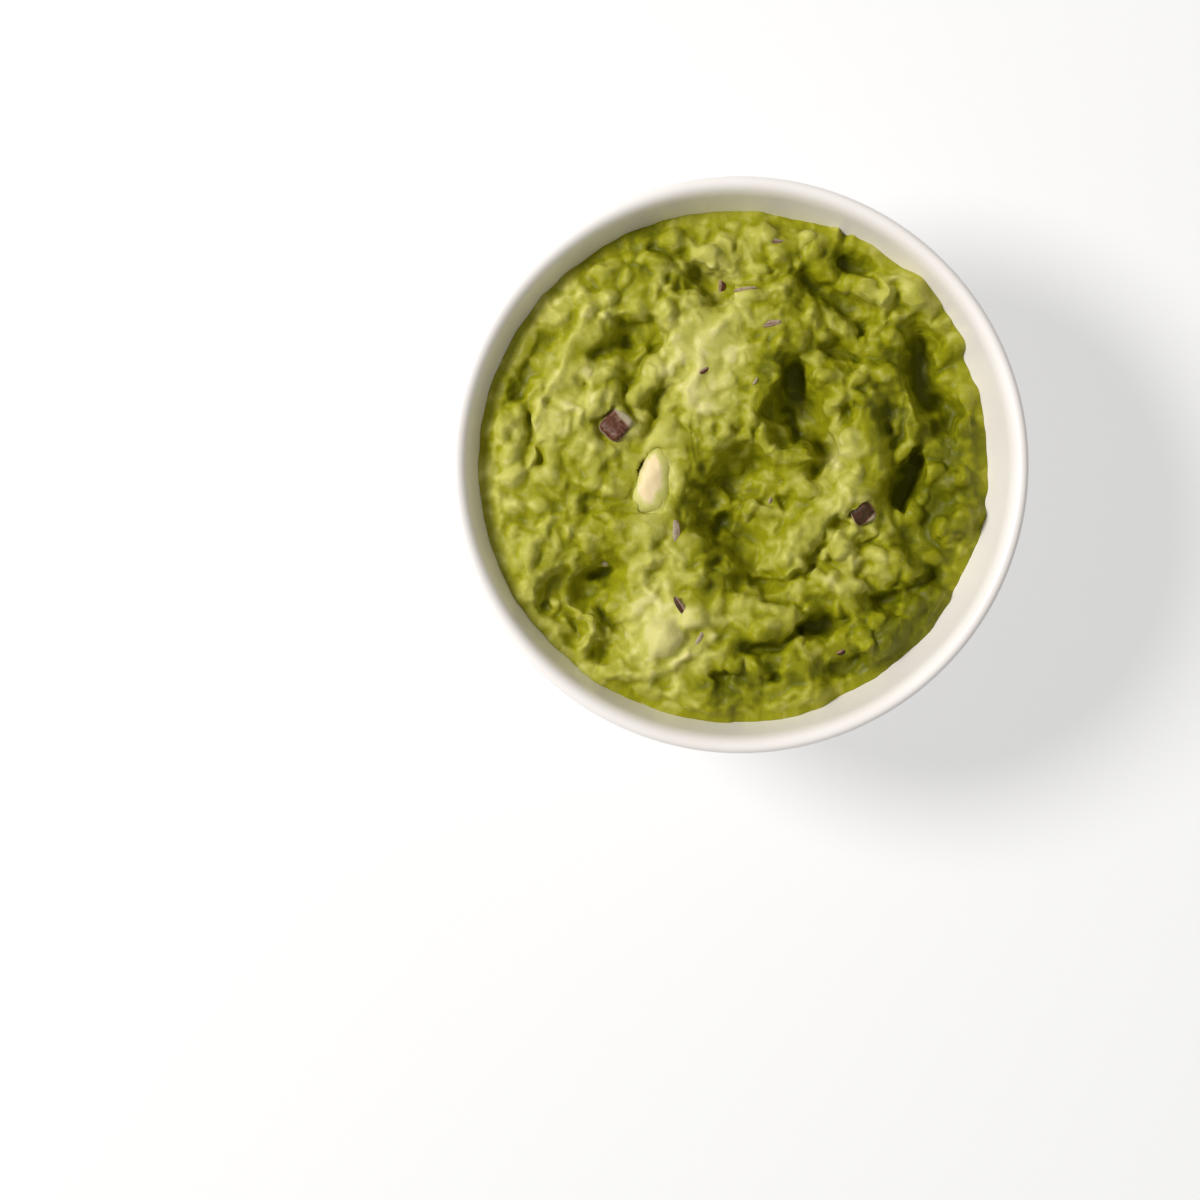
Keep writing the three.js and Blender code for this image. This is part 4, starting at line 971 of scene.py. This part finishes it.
def sculpt_heap(bm, lump_rise):
    """Gives the heap its relief, and returns each point's painted shade or light, from how far it lies
    in a hollow or on a crest, and its patch tone, mostly painted light and shade.
    """
    links = mesh_links(bm)
    place = np.array([v.co for v in bm.verts]) / MM
    free = place[:, 2] > SKIRT_LEVEL + 0.6
    round_forms(place, free, links)
    normal = move_points(bm, place)
    top = smooth_step(0.05, 0.5, normal[:, 2]) * smooth_step(
        SKIRT_LEVEL + 1, SKIRT_LEVEL + 2.5, place[:, 2])
    moved = np.flatnonzero(top > 0)
    depth = neighbour_mean(place[:, 2], links, SURROUND_TURNS) - place[:, 2]
    height = heap_relief(place[moved], depth[moved], lump_rise)
    lean = NORMAL_LEAN * normal[moved]
    lean[:, 2] += 1 - NORMAL_LEAN
    lean /= np.linalg.norm(lean, axis=1)[:, None]
    place[moved] += lean * (height * top[moved])[:, None]
    coat_chunk(place, links)
    place[free] = soften(place, 0.15, links)[free]
    reach_into_wall(place)
    move_points(bm, place)

    # painted shade in the hollows and painted light on the crests, from how far each point lies under
    # the levels round it
    level = place[:, 2]
    near_level = neighbour_mean(level, links, NEAR_TURNS)
    far_level = neighbour_mean(near_level, links, FAR_TURNS)
    sunk = 0.9 * (near_level - level) + 0.35 * (far_level - level)
    # patches of tone, mostly painted light and shade
    tone = placed_tone_and_light(place[:, :2] + sway(place[:, :2], 4, 1.5, 8))
    return np.clip(0.35 + 0.9 * sunk, 0, 1), tone


def mark_points(piece, name, values):
    """Keeps a value for every point of a piece, which its material reads by name."""
    mark = piece.data.attributes.new(name, "FLOAT", "POINT")
    mark.data.foreach_set("value", np.asarray(values, np.float32))


def make_guacamole(sizes, colours):
    """Builds the heap and marks at each point its painted shade in hollows and painted light on crests,
    and its patch tone, mostly painted light and shade.
    """
    bm = heap_bmesh(sizes.skin)
    hollow_shade, tone = sculpt_heap(bm, sizes.lump_rise)
    heap = new_object("guacamole_heap", bm, mashed_avocado(colours))
    # painted shade of the hollows and painted light of the crests
    mark_points(heap, "hollow_shade", hollow_shade)
    # patches of tone, mostly painted light and shade
    mark_points(heap, "tone", tone)
    thin = heap.modifiers.new("thin", "DECIMATE")
    thin.ratio = KEPT_SHARE
    place_piece(heap, "mashed_avocado", "guacamole")
    return heap


# ---------------------------------------------------------------- pieces pressed into the heap


def rounded_node(node, turns):
    """A finer copy of a CAD node's mesh, its edges rounded by some turns of smoothing."""
    bm = node_bmesh(node)
    bmesh.ops.subdivide_edges(bm, edges=bm.edges, cuts=3, use_grid_fill=True)
    for _ in range(turns):
        bmesh.ops.smooth_vert(bm, verts=bm.verts, factor=0.5, use_axis_x=True, use_axis_y=True,
                              use_axis_z=True)
    bm.normal_update()
    return bm


CHUNK_DENTS = ((3.2, 0.35), (1.1, 0.1))  # length and depth of soft dents in the avocado chunk


def make_chunk(colours):
    """The avocado chunk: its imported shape, rounded, with soft dents and a green flank."""
    bm = rounded_node("avocado_chunk", 4)
    centre = middle_of(bm)
    along = Vector((math.cos(math.radians(CHUNK_TURN)), math.sin(math.radians(CHUNK_TURN)), 0))
    across = Vector((along.y, -along.x, 0))
    green = []
    for vert in bm.verts:
        dent = sum(noise.noise(vert.co / (length * MM)) * depth for length, depth in CHUNK_DENTS)
        vert.co += vert.normal * dent * MM
        offset = (vert.co - centre) / MM
        reach = math.hypot(offset.dot(along) / HEART[0],
                           (offset.dot(across) + HEART_SHIFT) / HEART[1])
        stray = 0.25 * noise.noise(vert.co / (1.8 * MM))
        green.append(1.6 * (reach + stray) - 0.95)
    bmesh.ops.recalc_face_normals(bm, faces=bm.faces)
    chunk = new_object("avocado_chunk_piece", bm, avocado_flesh(colours))
    mark_points(chunk, "green", np.clip(green, 0, 1))
    place_piece(chunk, "avocado_flesh", "avocado_chunk")


# Dice of red onion: node, piece, darkest share of skin colour (over 0.7 it is painted shade),
# side of the pale flesh and where it starts.
DICE = (
    ("red_onion_dice_large", "onion_dice_large", 0.7, (0.75, 0.66), 1.2),
    ("red_onion_dice_small", "onion_dice_small", 0.95, (0.75, -0.66), 1.1),
)


def make_dice(node, name, painted_skin_shade, flesh_side, flesh_start, colours):
    """One dice of red onion: its skin side up, pale flesh at its cut sides."""
    bm = rounded_node(node, 2)
    centre = middle_of(bm)
    skin = []
    for vert in bm.verts:
        vert.co += vert.normal * noise.noise(vert.co / (1.3 * MM)) * 0.12 * MM
        offset = (vert.co - centre) / MM
        pale = offset.x * flesh_side[0] + offset.y * flesh_side[1] - flesh_start
        # the skin is held to a darkest share; past the plain skin colour it is painted shade
        skin.append(min(painted_skin_shade, 1.3 * vert.normal.z, 0.9 - 1.6 * pale))
    bmesh.ops.recalc_face_normals(bm, faces=bm.faces)
    dice = new_object(name, bm, red_onion(colours))
    mark_points(dice, "skin", np.clip(skin, 0, 1))
    place_piece(dice, "red_onion", node)


# Slivers of onion in the surface: x, y, turn in degrees, length, width, share of skin.
SLIVERS = (
    (-10.5, -26.1, -54, 5.0, 1.3, 0.9),
    (-3.0, 33.6, 88, 3.4, 1.3, 0.8),
    (6.6, 41.2, -10, 3.6, 0.9, 0.5),
    (5.6, 26.0, 8, 4.2, 1.2, 0.5),
    (-11.6, -12.2, 88, 4.6, 1.4, 0.34),
    (-24.6, -17.8, -40, 1.9, 1.2, 0.0),
    (18.9, -34.2, 30, 1.8, 1.0, 0.95),
    (-7.3, -31.6, 60, 3.0, 0.8, 0.3),
    (1.0, 32.3, 6, 4.2, 0.7, 0.35),
    (5.9, -6.2, 70, 1.4, 0.6, 0.5),
    (2.9, 15.4, 60, 1.6, 0.5, 0.3),
    (-6.6, 17.3, 30, 2.2, 0.8, 0.75),
)
SLIVER_HALF = 0.24  # half of a sliver's thickness
SLIVER_DROOP = 0.2  # how far its ends bend down


def make_slivers(heap, colours):
    """Thin cuts of red onion lying in the surface, each a bent, soft-edged slip."""
    depsgraph = bpy.context.evaluated_depsgraph_get()
    surface = BVHTree.FromObject(heap, depsgraph)
    bm = bmesh.new()
    skin_layer = bm.verts.layers.float.new("skin")
    for x, y, turn, length, width, skin in SLIVERS:
        start = Vector((x * MM, y * MM, ABOVE_ALL * MM))
        found, normal, _, _ = surface.ray_cast(start, Vector((0, 0, -1)))
        made = bmesh.ops.create_cube(bm, size=1)["verts"]
        edges = list({edge for vert in made for edge in vert.link_edges})
        made = bmesh.ops.subdivide_edges(bm, edges=edges, cuts=5, use_grid_fill=True)
        verts = {v for item in made["geom"] for v in getattr(item, "verts", (item,))}
        verts = [v for v in verts if isinstance(v, bmesh.types.BMVert)]
        upright = Vector((0, 0, 1))
        lie = upright.rotation_difference(upright.lerp(normal, 0.6)).to_matrix().to_4x4()
        spin = Matrix.Rotation(math.radians(turn), 4, "Z")
        for vert in verts:
            u, v, w = 2 * vert.co
            round_off = (abs(u) ** 4 + abs(v) ** 4 + abs(w) ** 4) ** 0.25
            u, v, w = u / round_off, v / round_off, w / round_off
            bend = 0.04 * length * (u * u - 0.4)
            local = Vector((u * length / 2, v * width / 2 * (1 - 0.3 * u * u) + bend,
                            w * SLIVER_HALF - SLIVER_DROOP * u * u))
            vert.co = found + (lie @ spin @ local) * MM
            vert[skin_layer] = skin * (1.0 if v < 0.1 else 0.5)
    bmesh.ops.recalc_face_normals(bm, faces=bm.faces)
    slivers = new_object("onion_slivers", bm, red_onion(colours))
    place_piece(slivers, "red_onion", "guacamole")


# ---------------------------------------------------------------- stage

VIEW_WIDTH = 218.0  # what the camera sees across, at the height of the rim
VIEW_DISTANCE = 700.0
VIEW_CENTRE = (-25.5, -24.6)  # the picture's middle, from the bowl's axis
SENSOR = 36.0
LAMP_PLACE = Vector((-614, 165, 746))
LAMP_TARGET = Vector((0, 0, 40))
LAMP_SIZE = 330
LAMP_POWER = 8.7  # watts
SKY_STRENGTH = 0.34
BOARD_SIZE_M = 1.5


def make_stage(colours):
    """A pale board, a large soft lamp at the upper left, an even sky and the camera above."""
    bm = bmesh.new()
    bmesh.ops.create_grid(bm, x_segments=1, y_segments=1, size=BOARD_SIZE_M)
    floor = new_object("floor_board", bm, studio_floor(colours), smooth=False)
    scene = bpy.context.scene
    world = bpy.data.worlds.new("soft_room")
    world.use_nodes = True
    sky = world.node_tree.nodes["Background"]
    sky.inputs["Color"].default_value = (1, 0.99, 0.97, 1)
    sky.inputs["Strength"].default_value = SKY_STRENGTH
    scene.world = world
    lamp = bpy.data.lights.new("window_lamp", "AREA")
    lamp.shape = "DISK"
    lamp.size = LAMP_SIZE * MM
    lamp.energy = LAMP_POWER
    lamp.color = (1, 0.985, 0.96)
    lamp_object = bpy.data.objects.new("window_lamp", lamp)
    lamp_object.location = LAMP_PLACE * MM
    toward = LAMP_TARGET - LAMP_PLACE
    lamp_object.rotation_euler = toward.to_track_quat("-Z", "Y").to_euler()
    scene.collection.objects.link(lamp_object)
    camera = bpy.data.cameras.new("overhead_camera")
    camera.sensor_width = SENSOR
    camera.lens = SENSOR * VIEW_DISTANCE / VIEW_WIDTH
    camera.clip_start = 0.01
    camera_object = bpy.data.objects.new("overhead_camera", camera)
    camera_object.location = Vector((*VIEW_CENTRE, BOWL_HEIGHT + VIEW_DISTANCE)) * MM
    scene.collection.objects.link(camera_object)
    scene.camera = camera_object
    scene.view_settings.view_transform = "Standard"


# ---------------------------------------------------------------- operators and panel


class AddBowl(bpy.types.Operator):
    """Add the glazed dip bowl"""

    bl_idname = "guacamole.add_bowl"
    bl_label = "Bowl"

    def execute(self, context):
        make_bowl(context.scene.guacamole_sizes, context.scene.guacamole_colours)
        return {"FINISHED"}


class AddGuacamole(bpy.types.Operator):
    """Add the heap of mashed avocado and the onion slivers in its surface"""

    bl_idname = "guacamole.add_guacamole"
    bl_label = "Guacamole"

    def execute(self, context):
        colours = context.scene.guacamole_colours
        heap = make_guacamole(context.scene.guacamole_sizes, colours)
        context.view_layer.update()
        make_slivers(heap, colours)
        return {"FINISHED"}


class AddPressedPieces(bpy.types.Operator):
    """Add the avocado chunk and the dice of red onion"""

    bl_idname = "guacamole.add_pressed_pieces"
    bl_label = "Chunk and dice"

    def execute(self, context):
        colours = context.scene.guacamole_colours
        make_chunk(colours)
        for dice in DICE:
            make_dice(*dice, colours)
        return {"FINISHED"}


class AddStage(bpy.types.Operator):
    """Add the floor, the lamp, the sky and the camera"""

    bl_idname = "guacamole.add_stage"
    bl_label = "Stage"

    def execute(self, context):
        make_stage(context.scene.guacamole_colours)
        return {"FINISHED"}


class GuacamolePanel(bpy.types.Panel):
    """Buttons for each group of pieces, and their settings"""

    bl_idname = "VIEW3D_PT_guacamole"
    bl_label = "Guacamole"
    bl_space_type = "VIEW_3D"
    bl_region_type = "UI"
    bl_category = "Guacamole"

    def draw(self, context):
        layout = self.layout
        for group in (context.scene.guacamole_sizes, context.scene.guacamole_colours):
            for name in group.__annotations__:
                layout.prop(group, name)
        for operator in OPERATORS:
            layout.operator(operator.bl_idname)


OPERATORS = (AddBowl, AddGuacamole, AddPressedPieces, AddStage)
CLASSES = (GuacamoleColours, GuacamoleSizes, *OPERATORS, GuacamolePanel)


def register():
    for cls in CLASSES:
        bpy.utils.register_class(cls)
    bpy.types.Scene.guacamole_colours = PointerProperty(type=GuacamoleColours)
    bpy.types.Scene.guacamole_sizes = PointerProperty(type=GuacamoleSizes)


def unregister():
    del bpy.types.Scene.guacamole_sizes
    del bpy.types.Scene.guacamole_colours
    for cls in reversed(CLASSES):
        bpy.utils.unregister_class(cls)


def main():
    register()
    bpy.ops.guacamole.add_bowl()
    bpy.ops.guacamole.add_guacamole()
    bpy.ops.guacamole.add_pressed_pieces()
    bpy.ops.guacamole.add_stage()


if __name__ == "__main__":
    main()
